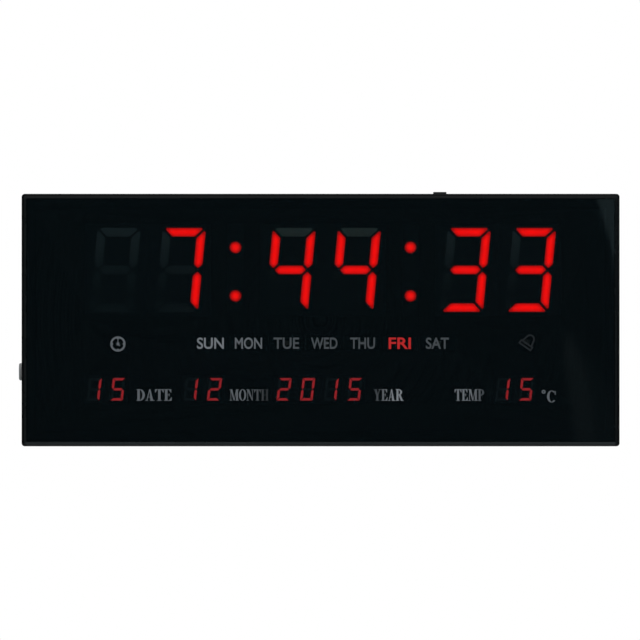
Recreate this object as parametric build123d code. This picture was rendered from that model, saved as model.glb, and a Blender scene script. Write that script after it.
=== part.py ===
from build123d import *
import os
from math import cos, pi, radians, sin, sqrt, tan

# Digital wall clock. X runs to the right and Z up as seen by a reader.
# The wall is at Y = 0 and the reader at -Y. Depths are distances off the wall.
# The origin is the middle of the rear face that lies on the wall.

# Case: front frame and rear cover
CASE_WIDTH = 360.0
CASE_HEIGHT = 152.0
CASE_DEPTH = 28.0
CASE_CORNER = 1.9
LEAST_CORNER_SHARE = 0.2  # an outline drawn in from the case keeps at least this share of its corner radius
FRAME_WALL = 2.6
RIM_ROUND = 0.8
RIM_SLOPE_WIDTH = 1.6
RIM_SLOPE_DEPTH = 0.45
COVER_DEPTH = 5.0
COVER_PLATE = 2.2
COVER_EDGE_ROUND = 1.4
TONGUE_INSET = 1.4
TONGUE_THICKNESS = 1.0
TONGUE_HEIGHT = 2.0
SEAM_CLEARANCE = 0.15
OVERRUN = 1.0  # how far a cutting shape runs past the face it cuts

# Front panel on its ledge, with the tape that holds it and the mask film behind it
PANEL_RECESS = 0.4
PANEL_THICKNESS = 2.0
PANEL_CLEARANCE = 0.3
PANEL_BEVEL = 0.3
LEDGE_WIDTH = 8.0
LEDGE_THICKNESS = 2.0
TAPE_THICKNESS = 0.4
TAPE_WIDTH = 5.0
TAPE_MARGIN = 0.5
FILM_THICKNESS = 0.25
FILM_MARGIN = 0.4
FILM_LAP = 1.0  # the film covers the edge of each display by this much

# Large digits of the time, their modules and the colons between them
DIGIT_HEIGHT = 50.6
DIGIT_WIDTH = 26.0
DIGIT_STROKE = 5.2
DIGIT_GAP = 1.3
DIGIT_TIP_ROUND = 0.8
DIGIT_SLANT_DEG = 5.5
DIGIT_SIDE_MARGIN = 3.95
DIGIT_END_MARGIN = 3.6
MODULE_GAP = 0.5  # between neighbouring modules
FILM_GAP = 0.25  # between the film and the modules
SEGMENT_RECESS = 0.15
TIME_CENTRE_SHARE = 0.004  # of the case width
COLON_GAP_SHARE = 0.0957  # gap beside a colon as a share of the row's spare width
TIME_ROW_SHARE = 0.1987  # of the case height
COLON_ROW_SHARE = 0.1921  # of the case height
COLON_DOT_RADIUS = 3.45
COLON_DOT_SPACING = 29.2
COLON_DOT_FIT = 0.05
COLON_MODULE_WIDTH = 12.0

# Small digits of the date, month, year and temperature
CALENDAR_HEIGHT = 13.6
CALENDAR_WIDTH = 7.6
CALENDAR_STROKE = 1.5
CALENDAR_GAP = 0.3
CALENDAR_SLANT_DEG = 7.0
CALENDAR_SIDE_MARGIN = 2.46
CALENDAR_END_MARGIN = 2.7
CALENDAR_ROW_SHARE = -0.2743  # of the case height
CALENDAR_CENTRE_SHARES = {"date": -0.3589, "month": -0.1972, "year": -0.0019, "temperature": 0.3244}
CALENDAR_DIGIT_COUNT = 2
YEAR_DIGIT_COUNT = 4

# Light boxes behind the printed weekday names and the two signs, and the lamps in them
WEEKDAYS = 7
WEEKDAY_CELL_WIDTH = 21.6
WEEKDAY_CELL_HEIGHT = 9.0
WEEKDAY_CENTRE_SHARE = 0.0067  # of the case width
WEEKDAY_ROW_SHARE = -0.0908  # of the case height
LIGHT_WALL = 1.2
SIGN_CELL = 11.0
SIGN_PLACE_SHARES = ((-0.3383, -0.0941), (0.3456, -0.0868))  # of the case width and height
LAMP_LENGTH = 3.5
LAMP_WIDTH = 2.8
LAMP_HEIGHT = 1.9
LAMP_DOME_SHARE = 0.36  # radius of a lamp's lens as a share of its width

# Display board and the screws that hold it to the frame's posts
BOARD_BACK = 13.5  # off the wall
BOARD_THICKNESS = 1.6
BOARD_EDGE_GAP = 1.6
BOARD_END_GAP = 24.0
BOARD_CORNER = 2.0
BOARD_NOTCH_GAP = 0.75
POST_RADIUS = 3.0
POST_INSET = 7.0
POST_SHARES = (-0.88, -0.3, 0.3, 0.88)  # of half the board's width
BOARD_SCREW_RADIUS = 1.2
BOARD_SCREW_SHARE = 0.7  # how far a screw reaches into its post, as a share of the post's length
BOARD_HEAD_RADIUS = 2.4
BOARD_HEAD_HEIGHT = 1.6

# Screws through the rear cover into the frame's bosses
SCREW_INSET = 7.6
SCREW_RADIUS = 1.4
SCREW_LENGTH = 14.0
SCREW_HEAD_RADIUS = 2.8
SCREW_HEAD_HEIGHT = 1.8
SCREW_SEAT = 2.0  # thickness of the cover's post under the head
BOSS_RADIUS = 3.75
COVER_POST_RADIUS = 4.6
COUNTERBORE_CLEARANCE = 0.4
SCREW_HOLE_CLEARANCE = 0.2
PILOT_CLEARANCE = 0.05
PILOT_SPARE = 1.0  # a pilot hole is this much deeper than its screw
CROSS_SLOT_WIDTH = 0.7
CROSS_SLOT_DEPTH = 1.0
CROSS_SLOT_SHARE = 1.1  # length of a driver slot as a share of the head's radius

# Keyholes that hang the clock on two wall screws
KEYHOLE_PLACE_SHARES = ((-0.3, 0.27), (0.3, 0.27))  # of the case width and height
KEYHOLE_ENTRY_RADIUS = 4.5
KEYHOLE_SLOT_RADIUS = 2.5
KEYHOLE_RISE = 9.0
KEYHOLE_POCKET_MARGIN = 0.8
KEYHOLE_POCKET_DEPTH = 5.5
KEYHOLE_POCKET_WALL = 1.4

# Push buttons: four set buttons on the back, one on the top edge, each on a tactile switch
BUTTON_TRAVEL = 0.6
BUTTON_CLEARANCE = 0.25
BUTTON_FLANGE_GAP = 0.15
BUTTON_FLANGE_LIP = 1.0
BUTTON_FLANGE_THICKNESS = 1.0
SET_BUTTONS = ("set_button", "up_button", "down_button", "alarm_button")
SET_BUTTON_RADIUS = 3.0
SET_BUTTON_PITCH = 15.0
SET_BUTTON_ROW_SHARE = 0.05  # of the case height
SET_BUTTON_SINK = 0.4  # the caps stay below the wall face by this much
SET_BUTTON_BEVEL = 0.3
SET_RECESS_DEPTH = 1.4
SET_RECESS_MARGIN = 2.2
SET_RECESS_FLOOR = 1.8
STEM_RADIUS = 1.8
TOP_BUTTON_SHARE = 0.2  # of the case width
TOP_BUTTON_LENGTH = 8.0
TOP_BUTTON_WIDTH = 4.0
TOP_BUTTON_CORNER = 1.2
TOP_BUTTON_PROUD = 1.3
TOP_BUTTON_CROWN = 0.4
TOP_FLANGE_LIP = 0.8
SWITCH_SIZE = 6.2
SWITCH_HEIGHT = 3.6
PLUNGER_RADIUS = 1.7
PLUNGER_PROUD = 1.0
PLUNGER_HELD = 1.4  # length of plunger inside the switch body
PLUNGER_SPARE = 0.3

# Speaker behind a grille in the rear cover
SPEAKER_PLACE_SHARES = (-0.21, -0.14)  # of the case width and height
SPEAKER_RADIUS = 14.0
SPEAKER_RIM_WIDTH = 1.8
SPEAKER_RIM_THICKNESS = 1.0
SPEAKER_DEPTH = 4.6
SPEAKER_BACK_RADIUS = 9.5
SPEAKER_SHEET = 0.8
CONE_THICKNESS = 0.4
CONE_DEPTH = 2.2
CONE_CAP_RADIUS = 4.0
MAGNET_RADIUS = 7.0
MAGNET_HEIGHT = 3.0
SPEAKER_RING_CLEARANCE = 0.2
SPEAKER_RING_WALL = 1.4
SPEAKER_RING_HEIGHT = 3.0
GRILLE_HOLE_RADIUS = 1.1
GRILLE_RING_PITCH = 4.2
GRILLE_RINGS = 2

# Coin cell well with its contacts and hinged hatch
CELL_PLACE_SHARES = (0.21, -0.14)  # of the case width and height
CELL_RADIUS = 10.0
CELL_THICKNESS = 3.2
CELL_CAN_STEP = 0.5
CELL_CLEARANCE = 0.4
CELL_FACE_GAP = 0.2
WELL_WALL = 1.8
WELL_FLOOR = 1.4
SPRING_RISE = 1.2
SPRING_SPAN = 12.0
SPRING_WIDTH = 6.0
CONTACT_SHEET = 0.3
SIDE_CONTACT_WIDTH = 5.0
SIDE_CONTACT_GAP = 0.05
HATCH_WIDTH = 25.0
HATCH_HEIGHT = 27.0
HATCH_THICKNESS = 1.6
HATCH_SINK = 0.4
HATCH_CLEARANCE = 0.3
HATCH_FRAME_WALL = 2.4
HATCH_SEAT_FLOOR = 1.6
HINGE_PIN_RADIUS = 0.55
HINGE_PIN_LENGTH = 1.4
HINGE_CLEARANCE = 0.05
GRIP_GROOVES = 3
GRIP_GROOVE_WIDTH = 0.8
GRIP_GROOVE_DEPTH = 0.4
GRIP_GROOVE_PITCH = 2.0
GRIP_LENGTH_SHARE = 0.4  # of the hatch's width
FINGER_NOTCH_RADIUS = 5.0

# Vents in the rear cover
VENT_PLACE_SHARES = ((-0.32, -0.3), (0.32, -0.3))  # of the case width and height
VENT_SLOTS = 9
VENT_PITCH = 4.6
VENT_WIDTH = 2.0
VENT_LENGTH = 15.0

# Power socket in the left wall
SOCKET_ROW_SHARE = -0.2053  # of the case height
SOCKET_FLANGE_RADIUS = 5.2
SOCKET_FLANGE_PROUD = 1.9
SOCKET_BARREL_RADIUS = 4.0
SOCKET_LENGTH = 13.0
SOCKET_BORE_RADIUS = 2.8
SOCKET_BORE_DEPTH = 11.0
SOCKET_PIN_RADIUS = 1.0
SOCKET_PIN_LENGTH = 9.5
SOCKET_FIT = 0.1
SOCKET_NUT_FLATS = 11.0
SOCKET_NUT_THICKNESS = 2.2
SOCKET_TAG_WIDTH = 2.0
SOCKET_TAG_SHEET = 0.4
SOCKET_TAG_LENGTH = 4.0
SOCKET_TAG_SPACING = 4.4

# Parts on the back of the board; places are shares of half the board's width and height
CHIP_LENGTH = 17.8
CHIP_WIDTH = 7.5
CHIP_HEIGHT = 2.3
CHIP_LIFT = 0.2
CHIP_LEG_PITCH = 1.27
CHIP_LEG_WIDTH = 0.42
CHIP_LEG_SHEET = 0.25
CHIP_LEG_REACH = 1.4
CHIP_LEGS = 14  # on each side
CHIP_PLACE_SHARES = ((0.0, 0.5), (-0.38, 0.5), (0.38, 0.5), (0.0, -0.44))
CRYSTAL_SHARES = (0.15, 0.5)
CRYSTAL_LENGTH = 11.0
CRYSTAL_WIDTH = 4.6
CRYSTAL_HEIGHT = 3.5
CRYSTAL_FOOT = 0.5
CAPACITOR_SHARES = ((-0.85, -0.17), (-0.79, -0.17), (-0.73, -0.17))
CAPACITOR_RADIUS = 3.15
CAPACITOR_HEIGHT = 7.0
CAPACITOR_BEVEL = 0.5
SENSOR_SHARES = (0.84, -0.78)
SENSOR_RADIUS = 2.4
SENSOR_HEIGHT = 4.6
SENSOR_FLAT_SHARE = 0.5  # of the sensor's radius
SENSOR_LEG_SHEET = 0.45
SENSOR_LEG_PITCH = 1.27
SENSOR_LEG_LENGTH = 2.0
CONNECTOR_LENGTH = 6.0
CONNECTOR_WIDTH = 7.4
CONNECTOR_HEIGHT = 5.0
CONNECTOR_ROUND = 0.4
POWER_CONNECTOR_SHARE = -0.93
SPEAKER_CONNECTOR_SHARE = -0.27
CELL_CONNECTOR_SHARE = 0.27
LEAD_RADIUS = 0.55
LEAD_SPACING = 2.6
LEAD_HOLE_CLEARANCE = 0.15
SPEAKER_LEAD_REACH = 8.0  # from the speaker's axis to where its leads start
CELL_LEAD_REACH = 4.0  # from the cell's axis to where its leads start
LEAD_BEND_SHARE = 0.45  # of the shorter run beside a bend

# Depths off the wall that follow from the stack above
PANEL_FRONT = CASE_DEPTH - PANEL_RECESS
PANEL_BACK = PANEL_FRONT - PANEL_THICKNESS
LEDGE_FRONT = PANEL_BACK - TAPE_THICKNESS
LEDGE_BACK = LEDGE_FRONT - LEDGE_THICKNESS
FILM_BACK = PANEL_BACK - FILM_THICKNESS
MODULE_FRONT = FILM_BACK - FILM_GAP
BOARD_FRONT = BOARD_BACK + BOARD_THICKNESS
BOARD_SCREW_LENGTH = BOARD_THICKNESS + (LEDGE_BACK - BOARD_FRONT) * BOARD_SCREW_SHARE
TONGUE_TOP = COVER_DEPTH + TONGUE_HEIGHT
SCREW_HEAD_SEAT = COVER_DEPTH - SCREW_SEAT
SET_PAD_TOP = SET_RECESS_DEPTH + SET_RECESS_FLOOR
SWITCH_TOP = BOARD_BACK - SWITCH_HEIGHT
PLUNGER_TOP = SWITCH_TOP - PLUNGER_PROUD
TOP_SWITCH_DEPTH = BOARD_BACK - SWITCH_SIZE / 2
HATCH_BACK = HATCH_SINK + HATCH_THICKNESS
HATCH_SEAT = HATCH_BACK + HATCH_CLEARANCE
CELL_OUTER_FACE = HATCH_SEAT + CELL_FACE_GAP
CELL_INNER_FACE = CELL_OUTER_FACE + CELL_THICKNESS
WELL_BOTTOM = CELL_INNER_FACE + SPRING_RISE
WELL_BACK = WELL_BOTTOM + WELL_FLOOR
HINGE_DEPTH = HATCH_SINK + HATCH_THICKNESS / 2
CONNECTOR_MIDDLE = BOARD_BACK - CONNECTOR_HEIGHT / 2
SOCKET_DEPTH = (COVER_DEPTH + LEDGE_BACK) / 2
SPEAKER_BACK = COVER_PLATE + CONE_THICKNESS + SPEAKER_DEPTH

# Heights and widths that follow from the case
COVER_WALL = TONGUE_INSET + TONGUE_THICKNESS
BOARD_WIDTH = CASE_WIDTH - 2 * (FRAME_WALL + BOARD_END_GAP)
BOARD_HEIGHT = CASE_HEIGHT - 2 * (FRAME_WALL + BOARD_EDGE_GAP)
DIGIT_LEAN = DIGIT_HEIGHT * tan(radians(DIGIT_SLANT_DEG))
DIGIT_MODULE_WIDTH = DIGIT_WIDTH + DIGIT_LEAN + 2 * DIGIT_SIDE_MARGIN
DIGIT_MODULE_HEIGHT = DIGIT_HEIGHT + 2 * DIGIT_END_MARGIN
DIGIT_PITCH = DIGIT_MODULE_WIDTH + MODULE_GAP
TIME_MODULES = 6 * DIGIT_MODULE_WIDTH + 3 * MODULE_GAP + 2 * COLON_MODULE_WIDTH
TIME_SPARE = CASE_WIDTH - 2 * (FRAME_WALL + LEDGE_WIDTH) - TIME_MODULES
COLON_GAP = TIME_SPARE * COLON_GAP_SHARE
TIME_PAIR_PITCH = DIGIT_PITCH + DIGIT_MODULE_WIDTH + COLON_MODULE_WIDTH + 2 * COLON_GAP
CALENDAR_LEAN = CALENDAR_HEIGHT * tan(radians(CALENDAR_SLANT_DEG))
CALENDAR_PITCH = CALENDAR_WIDTH + CALENDAR_LEAN + 2 * CALENDAR_SIDE_MARGIN
CALENDAR_MODULE_HEIGHT = CALENDAR_HEIGHT + 2 * CALENDAR_END_MARGIN
WEEKDAY_PITCH = WEEKDAY_CELL_WIDTH + LIGHT_WALL
WEEKDAY_BOX_WIDTH = WEEKDAYS * WEEKDAY_PITCH + LIGHT_WALL
WEEKDAY_BOX_HEIGHT = WEEKDAY_CELL_HEIGHT + 2 * LIGHT_WALL
SIGN_BOX = SIGN_CELL + 2 * LIGHT_WALL
TIME_ROW = CASE_HEIGHT * TIME_ROW_SHARE
CALENDAR_ROW = CASE_HEIGHT * CALENDAR_ROW_SHARE
TOP_BUTTON_X = CASE_WIDTH * TOP_BUTTON_SHARE
TOP_FLANGE_TOP = CASE_HEIGHT / 2 - FRAME_WALL - BUTTON_FLANGE_GAP
TOP_PLUNGER_TOP = TOP_FLANGE_TOP - BUTTON_FLANGE_THICKNESS
TOP_SWITCH_TOP = TOP_PLUNGER_TOP - PLUNGER_PROUD
SET_BUTTON_ROW = CASE_HEIGHT * SET_BUTTON_ROW_SHARE
SOCKET_ROW = CASE_HEIGHT * SOCKET_ROW_SHARE
SOCKET_INNER_END = SOCKET_LENGTH - CASE_WIDTH / 2


# Helpers
def slab(outline, near, far):
    """Solid with a front-view outline, from one distance off the wall to another."""
    return extrude(Plane.XZ.offset(near) * outline, far - near)


def rod_along_x(outline, start, end):
    """Solid with a side-view outline drawn in depth and height, from one X to another."""
    return extrude(Plane.YZ.offset(start) * outline, end - start)


def turned(profile, place):
    """Solid turned about an axis square to the wall; profile points are (radius, distance off the wall)."""
    half = Polygon(*[(radius, -depth) for radius, depth in profile], align=None)
    return Pos(place[0], 0, place[1]) * revolve(half, Axis.Y)


def group(pieces):
    """Several separate solids kept as one piece of the assembly."""
    return Compound([solid for piece in pieces for solid in piece.solids()])


def case_outline(inset):
    """Front-view outline of the case, drawn in by a distance."""
    corner = max(CASE_CORNER - inset, CASE_CORNER * LEAST_CORNER_SHARE)
    return RectangleRounded(CASE_WIDTH - 2 * inset, CASE_HEIGHT - 2 * inset, corner)


def case_place(shares):
    """Point of the front view from shares of the case's width and height."""
    return CASE_WIDTH * shares[0], CASE_HEIGHT * shares[1]


def board_place(shares):
    """Point of the front view from shares of half the board's width and height."""
    return BOARD_WIDTH / 2 * shares[0], BOARD_HEIGHT / 2 * shares[1]


def cover_screw_places():
    reach_x = CASE_WIDTH / 2 - SCREW_INSET
    reach_z = CASE_HEIGHT / 2 - SCREW_INSET
    return [(x, z) for x in (-reach_x, 0, reach_x) for z in (-reach_z, reach_z)]


def board_post_places():
    reach_z = CASE_HEIGHT / 2 - POST_INSET
    return [(BOARD_WIDTH / 2 * share, z) for share in POST_SHARES for z in (-reach_z, reach_z)]


def time_digit_places():
    pairs = [CASE_WIDTH * TIME_CENTRE_SHARE + step * TIME_PAIR_PITCH for step in (-1, 0, 1)]
    return [(pair + side * DIGIT_PITCH / 2, TIME_ROW) for pair in pairs for side in (-1, 1)]


def colon_places():
    return [CASE_WIDTH * TIME_CENTRE_SHARE + side * TIME_PAIR_PITCH / 2 for side in (-1, 1)]


def weekday_places():
    first = CASE_WIDTH * WEEKDAY_CENTRE_SHARE - (WEEKDAYS - 1) * WEEKDAY_PITCH / 2
    return [(first + day * WEEKDAY_PITCH, CASE_HEIGHT * WEEKDAY_ROW_SHARE) for day in range(WEEKDAYS)]


def sign_places():
    return [case_place(shares) for shares in SIGN_PLACE_SHARES]


def set_button_places():
    first = -(len(SET_BUTTONS) - 1) * SET_BUTTON_PITCH / 2
    return [(first + step * SET_BUTTON_PITCH, SET_BUTTON_ROW) for step in range(len(SET_BUTTONS))]


# Case
def front_frame():
    """Moulded frame: walls, rim round the panel, ledge behind it, screw bosses and board posts."""
    frame = slab(case_outline(0), COVER_DEPTH, CASE_DEPTH)
    frame = fillet(frame.faces().sort_by(Axis.Y)[0].edges(), RIM_ROUND)
    frame -= slab(case_outline(FRAME_WALL), COVER_DEPTH - OVERRUN, LEDGE_BACK)
    frame -= slab(case_outline(FRAME_WALL + LEDGE_WIDTH), LEDGE_BACK - OVERRUN, CASE_DEPTH)
    frame -= slab(case_outline(FRAME_WALL), LEDGE_FRONT, CASE_DEPTH + OVERRUN)
    rim = frame.faces().sort_by(Axis.Y)[0]
    frame = chamfer(rim.inner_wires()[0].edges(), RIM_SLOPE_WIDTH, RIM_SLOPE_DEPTH, reference=rim)
    rebate = case_outline(TONGUE_INSET - SEAM_CLEARANCE)
    frame -= slab(rebate, COVER_DEPTH - OVERRUN, TONGUE_TOP + SEAM_CLEARANCE)
    bosses = [slab(Pos(*at) * Circle(BOSS_RADIUS), COVER_DEPTH, LEDGE_BACK) for at in cover_screw_places()]
    posts = [slab(Pos(*at) * Circle(POST_RADIUS), BOARD_FRONT, LEDGE_BACK) for at in board_post_places()]
    frame = frame + bosses + posts
    boss_end = SCREW_HEAD_SEAT + SCREW_LENGTH + PILOT_SPARE
    post_end = BOARD_BACK + BOARD_SCREW_LENGTH + PILOT_SPARE
    boss_pilot = Circle(SCREW_RADIUS + PILOT_CLEARANCE)
    post_pilot = Circle(BOARD_SCREW_RADIUS + PILOT_CLEARANCE)
    pilots = [slab(Pos(*at) * boss_pilot, COVER_DEPTH - OVERRUN, boss_end) for at in cover_screw_places()]
    pilots += [slab(Pos(*at) * post_pilot, BOARD_FRONT - OVERRUN, post_end) for at in board_post_places()]
    return frame - pilots - top_button_hole() - socket_hole()


def top_button_hole():
    hole = RectangleRounded(
        TOP_BUTTON_LENGTH + 2 * BUTTON_CLEARANCE,
        TOP_BUTTON_WIDTH + 2 * BUTTON_CLEARANCE,
        TOP_BUTTON_CORNER + BUTTON_CLEARANCE,
    )
    under_wall = Plane.XY.offset(CASE_HEIGHT / 2 - FRAME_WALL - OVERRUN)
    return extrude(under_wall * Pos(TOP_BUTTON_X, -TOP_SWITCH_DEPTH) * hole, FRAME_WALL + 2 * OVERRUN)


def socket_hole():
    outline = Pos(-SOCKET_DEPTH, SOCKET_ROW) * Circle(SOCKET_BARREL_RADIUS + SOCKET_FIT)
    outside = -CASE_WIDTH / 2
    return rod_along_x(outline, outside - OVERRUN, outside + FRAME_WALL + OVERRUN)


def rear_cover():
    """Moulded tray with a tongue that enters the frame, and the wells, recesses and holes of the back."""
    cover = slab(case_outline(0), 0, COVER_DEPTH)
    cover = fillet(cover.faces().sort_by(Axis.Y)[-1].edges(), COVER_EDGE_ROUND)
    cover -= slab(case_outline(COVER_WALL), COVER_PLATE, COVER_DEPTH + OVERRUN)
    cover += slab(case_outline(TONGUE_INSET) - case_outline(COVER_WALL), COVER_PLATE, TONGUE_TOP)
    cover = cover + cover_posts() + keyhole_pockets() + [set_button_pad(), speaker_ring()] + cell_well()
    cover = cover - cover_screw_holes() - keyholes() - set_button_holes() - grille_holes() - vents()
    return cover - cell_well_spaces()


def cover_posts():
    post = Circle(COVER_POST_RADIUS)
    return [slab(Pos(*at) * post, COVER_PLATE, COVER_DEPTH) for at in cover_screw_places()]


def cover_screw_holes():
    head = Circle(SCREW_HEAD_RADIUS + COUNTERBORE_CLEARANCE)
    shank = Circle(SCREW_RADIUS + SCREW_HOLE_CLEARANCE)
    holes = []
    for at in cover_screw_places():
        holes.append(slab(Pos(*at) * head, -OVERRUN, SCREW_HEAD_SEAT))
        holes.append(slab(Pos(*at) * shank, -OVERRUN, COVER_DEPTH + OVERRUN))
    return holes


def keyhole_outline():
    slot = Pos(0, KEYHOLE_RISE / 2) * Rectangle(2 * KEYHOLE_SLOT_RADIUS, KEYHOLE_RISE)
    return Circle(KEYHOLE_ENTRY_RADIUS) + slot + Pos(0, KEYHOLE_RISE) * Circle(KEYHOLE_SLOT_RADIUS)


def keyhole_pocket_outline(wall):
    """Space for a wall screw's head behind a keyhole, from the entry to the top of the slot."""
    reach = KEYHOLE_ENTRY_RADIUS + KEYHOLE_POCKET_MARGIN + wall
    return Pos(0, KEYHOLE_RISE / 2) * RectangleRounded(2 * reach, KEYHOLE_RISE + 2 * reach, reach / 2)


def keyhole_pockets():
    floor = COVER_PLATE + KEYHOLE_POCKET_DEPTH
    outer = keyhole_pocket_outline(KEYHOLE_POCKET_WALL)
    pocket = slab(outer, COVER_PLATE, floor + KEYHOLE_POCKET_WALL)
    pocket -= slab(keyhole_pocket_outline(0), COVER_PLATE - OVERRUN, floor)
    places = [case_place(shares) for shares in KEYHOLE_PLACE_SHARES]
    return [Pos(x, 0, z) * pocket for x, z in places]


def keyholes():
    hole = slab(keyhole_outline(), -OVERRUN, COVER_PLATE + OVERRUN)
    places = [case_place(shares) for shares in KEYHOLE_PLACE_SHARES]
    return [Pos(x, 0, z) * hole for x, z in places]


def set_recess_outline(wall):
    reach = SET_BUTTON_RADIUS + SET_RECESS_MARGIN + wall
    row = (len(SET_BUTTONS) - 1) * SET_BUTTON_PITCH
    return Pos(0, SET_BUTTON_ROW) * SlotOverall(row + 2 * reach, 2 * reach)


def set_button_pad():
    return slab(set_recess_outline(SET_RECESS_FLOOR), COVER_PLATE, SET_PAD_TOP)


def set_button_holes():
    hole = Circle(SET_BUTTON_RADIUS + BUTTON_CLEARANCE)
    recess = slab(set_recess_outline(0), -OVERRUN, SET_RECESS_DEPTH)
    return [recess] + [slab(Pos(*at) * hole, 0, SET_PAD_TOP + OVERRUN) for at in set_button_places()]


def speaker_ring():
    inner = SPEAKER_RADIUS + SPEAKER_RING_CLEARANCE
    ring = Circle(inner + SPEAKER_RING_WALL) - Circle(inner)
    at = case_place(SPEAKER_PLACE_SHARES)
    return slab(Pos(*at) * ring, COVER_PLATE, COVER_PLATE + SPEAKER_RING_HEIGHT)


def grille_holes():
    """Round holes in rings about the speaker's axis, six more in each ring outwards."""
    x, z = case_place(SPEAKER_PLACE_SHARES)
    places = [(x, z)]
    for ring in range(1, GRILLE_RINGS + 1):
        for step in range(6 * ring):
            angle = 2 * pi * step / (6 * ring)
            reach = ring * GRILLE_RING_PITCH
            places.append((x + reach * cos(angle), z + reach * sin(angle)))
    hole = Circle(GRILLE_HOLE_RADIUS)
    return [slab(Pos(*at) * hole, -OVERRUN, COVER_PLATE + OVERRUN) for at in places]


def vents():
    slot = SlotOverall(VENT_LENGTH, VENT_WIDTH, rotation=90)
    slots = []
    for shares in VENT_PLACE_SHARES:
        x, z = case_place(shares)
        for step in range(VENT_SLOTS):
            shift = (step - (VENT_SLOTS - 1) / 2) * VENT_PITCH
            slots.append(slab(Pos(x + shift, z) * slot, -OVERRUN, COVER_PLATE + OVERRUN))
    return slots


# Coin cell well
def cell_well():
    """Raised frame round the hatch and the round cup behind it that holds the cell."""
    x, z = case_place(CELL_PLACE_SHARES)
    reach = 2 * (HATCH_CLEARANCE + HATCH_FRAME_WALL)
    frame = Rectangle(HATCH_WIDTH + reach, HATCH_HEIGHT + reach)
    cup = Circle(CELL_RADIUS + CELL_CLEARANCE + WELL_WALL)
    return [
        slab(Pos(x, z) * frame, COVER_PLATE, HATCH_SEAT + HATCH_SEAT_FLOOR),
        slab(Pos(x, z) * cup, COVER_PLATE, WELL_BACK),
    ]


def cell_well_spaces():
    x, z = case_place(CELL_PLACE_SHARES)
    seat = Rectangle(HATCH_WIDTH + 2 * HATCH_CLEARANCE, HATCH_HEIGHT + 2 * HATCH_CLEARANCE)
    cup = Circle(CELL_RADIUS + CELL_CLEARANCE)
    contact_reach = CELL_RADIUS + SIDE_CONTACT_GAP + CONTACT_SHEET
    contact_slot = Pos(-contact_reach / 2, 0) * Rectangle(contact_reach, SIDE_CONTACT_WIDTH)
    notch = Pos(0, -HATCH_HEIGHT / 2) * Circle(FINGER_NOTCH_RADIUS)
    lead_hole = Circle(LEAD_RADIUS + LEAD_HOLE_CLEARANCE)
    spaces = [
        slab(Pos(x, z) * seat, -OVERRUN, HATCH_SEAT),
        slab(Pos(x, z) * cup, 0, WELL_BOTTOM),
        slab(Pos(x, z) * contact_slot, 0, WELL_BOTTOM),
        slab(Pos(x, z) * notch, -OVERRUN, HATCH_BACK),
    ]
    for row in lead_rows(z):
        hole = Pos(x - CELL_LEAD_REACH, row) * lead_hole
        spaces.append(slab(hole, 0, WELL_BACK + OVERRUN))
    return spaces + [hinge_rod(HINGE_PIN_RADIUS + HINGE_CLEARANCE, HATCH_CLEARANCE + HINGE_CLEARANCE)]


def hinge_rod(radius, spare):
    """Rod on the hatch's hinge line, as long as the hatch and its two pins and a spare length at each end."""
    x, z = case_place(CELL_PLACE_SHARES)
    axis_height = z + HATCH_HEIGHT / 2 - HATCH_THICKNESS / 2
    reach = HATCH_WIDTH / 2 + HINGE_PIN_LENGTH + spare
    return rod_along_x(Pos(-HINGE_DEPTH, axis_height) * Circle(radius), x - reach, x + reach)


def battery_hatch():
    """Flat door with a rounded hinge edge at the top, two pins and grip grooves at the bottom."""
    x, z = case_place(CELL_PLACE_SHARES)
    half_round = HATCH_THICKNESS / 2
    plate = Pos(x, z - half_round / 2) * Rectangle(HATCH_WIDTH, HATCH_HEIGHT - half_round)
    hatch = slab(plate, HATCH_SINK, HATCH_BACK)
    axis_height = z + HATCH_HEIGHT / 2 - half_round
    edge = Pos(-HINGE_DEPTH, axis_height) * Circle(half_round)
    hatch += rod_along_x(edge, x - HATCH_WIDTH / 2, x + HATCH_WIDTH / 2)
    hatch += hinge_rod(HINGE_PIN_RADIUS, 0)
    groove = Rectangle(HATCH_WIDTH * GRIP_LENGTH_SHARE, GRIP_GROOVE_WIDTH)
    for step in range(1, GRIP_GROOVES + 1):
        at = Pos(x, z - HATCH_HEIGHT / 2 + step * GRIP_GROOVE_PITCH)
        hatch -= slab(at * groove, HATCH_SINK - OVERRUN, HATCH_SINK + GRIP_GROOVE_DEPTH)
    return hatch


def coin_cell():
    """Cell with its wider can towards the hatch and the smaller face towards the spring."""
    face = CELL_RADIUS - 2 * CELL_CAN_STEP
    profile = [
        (0, CELL_OUTER_FACE),
        (CELL_RADIUS - CELL_CAN_STEP, CELL_OUTER_FACE),
        (CELL_RADIUS, CELL_OUTER_FACE + CELL_CAN_STEP),
        (CELL_RADIUS, CELL_INNER_FACE - CELL_CAN_STEP),
        (face, CELL_INNER_FACE - CELL_CAN_STEP),
        (face, CELL_INNER_FACE),
        (0, CELL_INNER_FACE),
    ]
    return turned(profile, case_place(CELL_PLACE_SHARES))


def cell_contacts():
    """Arched leaf under the cell and a flat strip at its side."""
    x, z = case_place(CELL_PLACE_SHARES)
    half = SPRING_SPAN / 2
    crown = CELL_INNER_FACE
    above = ThreePointArc((-half, -WELL_BOTTOM), (0, -crown), (half, -WELL_BOTTOM))
    foot = half - CONTACT_SHEET
    below = ThreePointArc((foot, -WELL_BOTTOM), (0, -crown - CONTACT_SHEET), (-foot, -WELL_BOTTOM))
    feet = [Line(above @ 1, below @ 0), Line(below @ 1, above @ 0)]
    arch = Plane.XY.offset(z) * Pos(x, 0) * make_face([above, below] + feet)
    leaf = extrude(arch, SPRING_WIDTH / 2, both=True)
    strip_near = CELL_RADIUS + SIDE_CONTACT_GAP
    strip = Pos(x - strip_near - CONTACT_SHEET / 2, z) * Rectangle(CONTACT_SHEET, SIDE_CONTACT_WIDTH)
    return group([leaf, slab(strip, CELL_OUTER_FACE, WELL_BOTTOM)])


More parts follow.
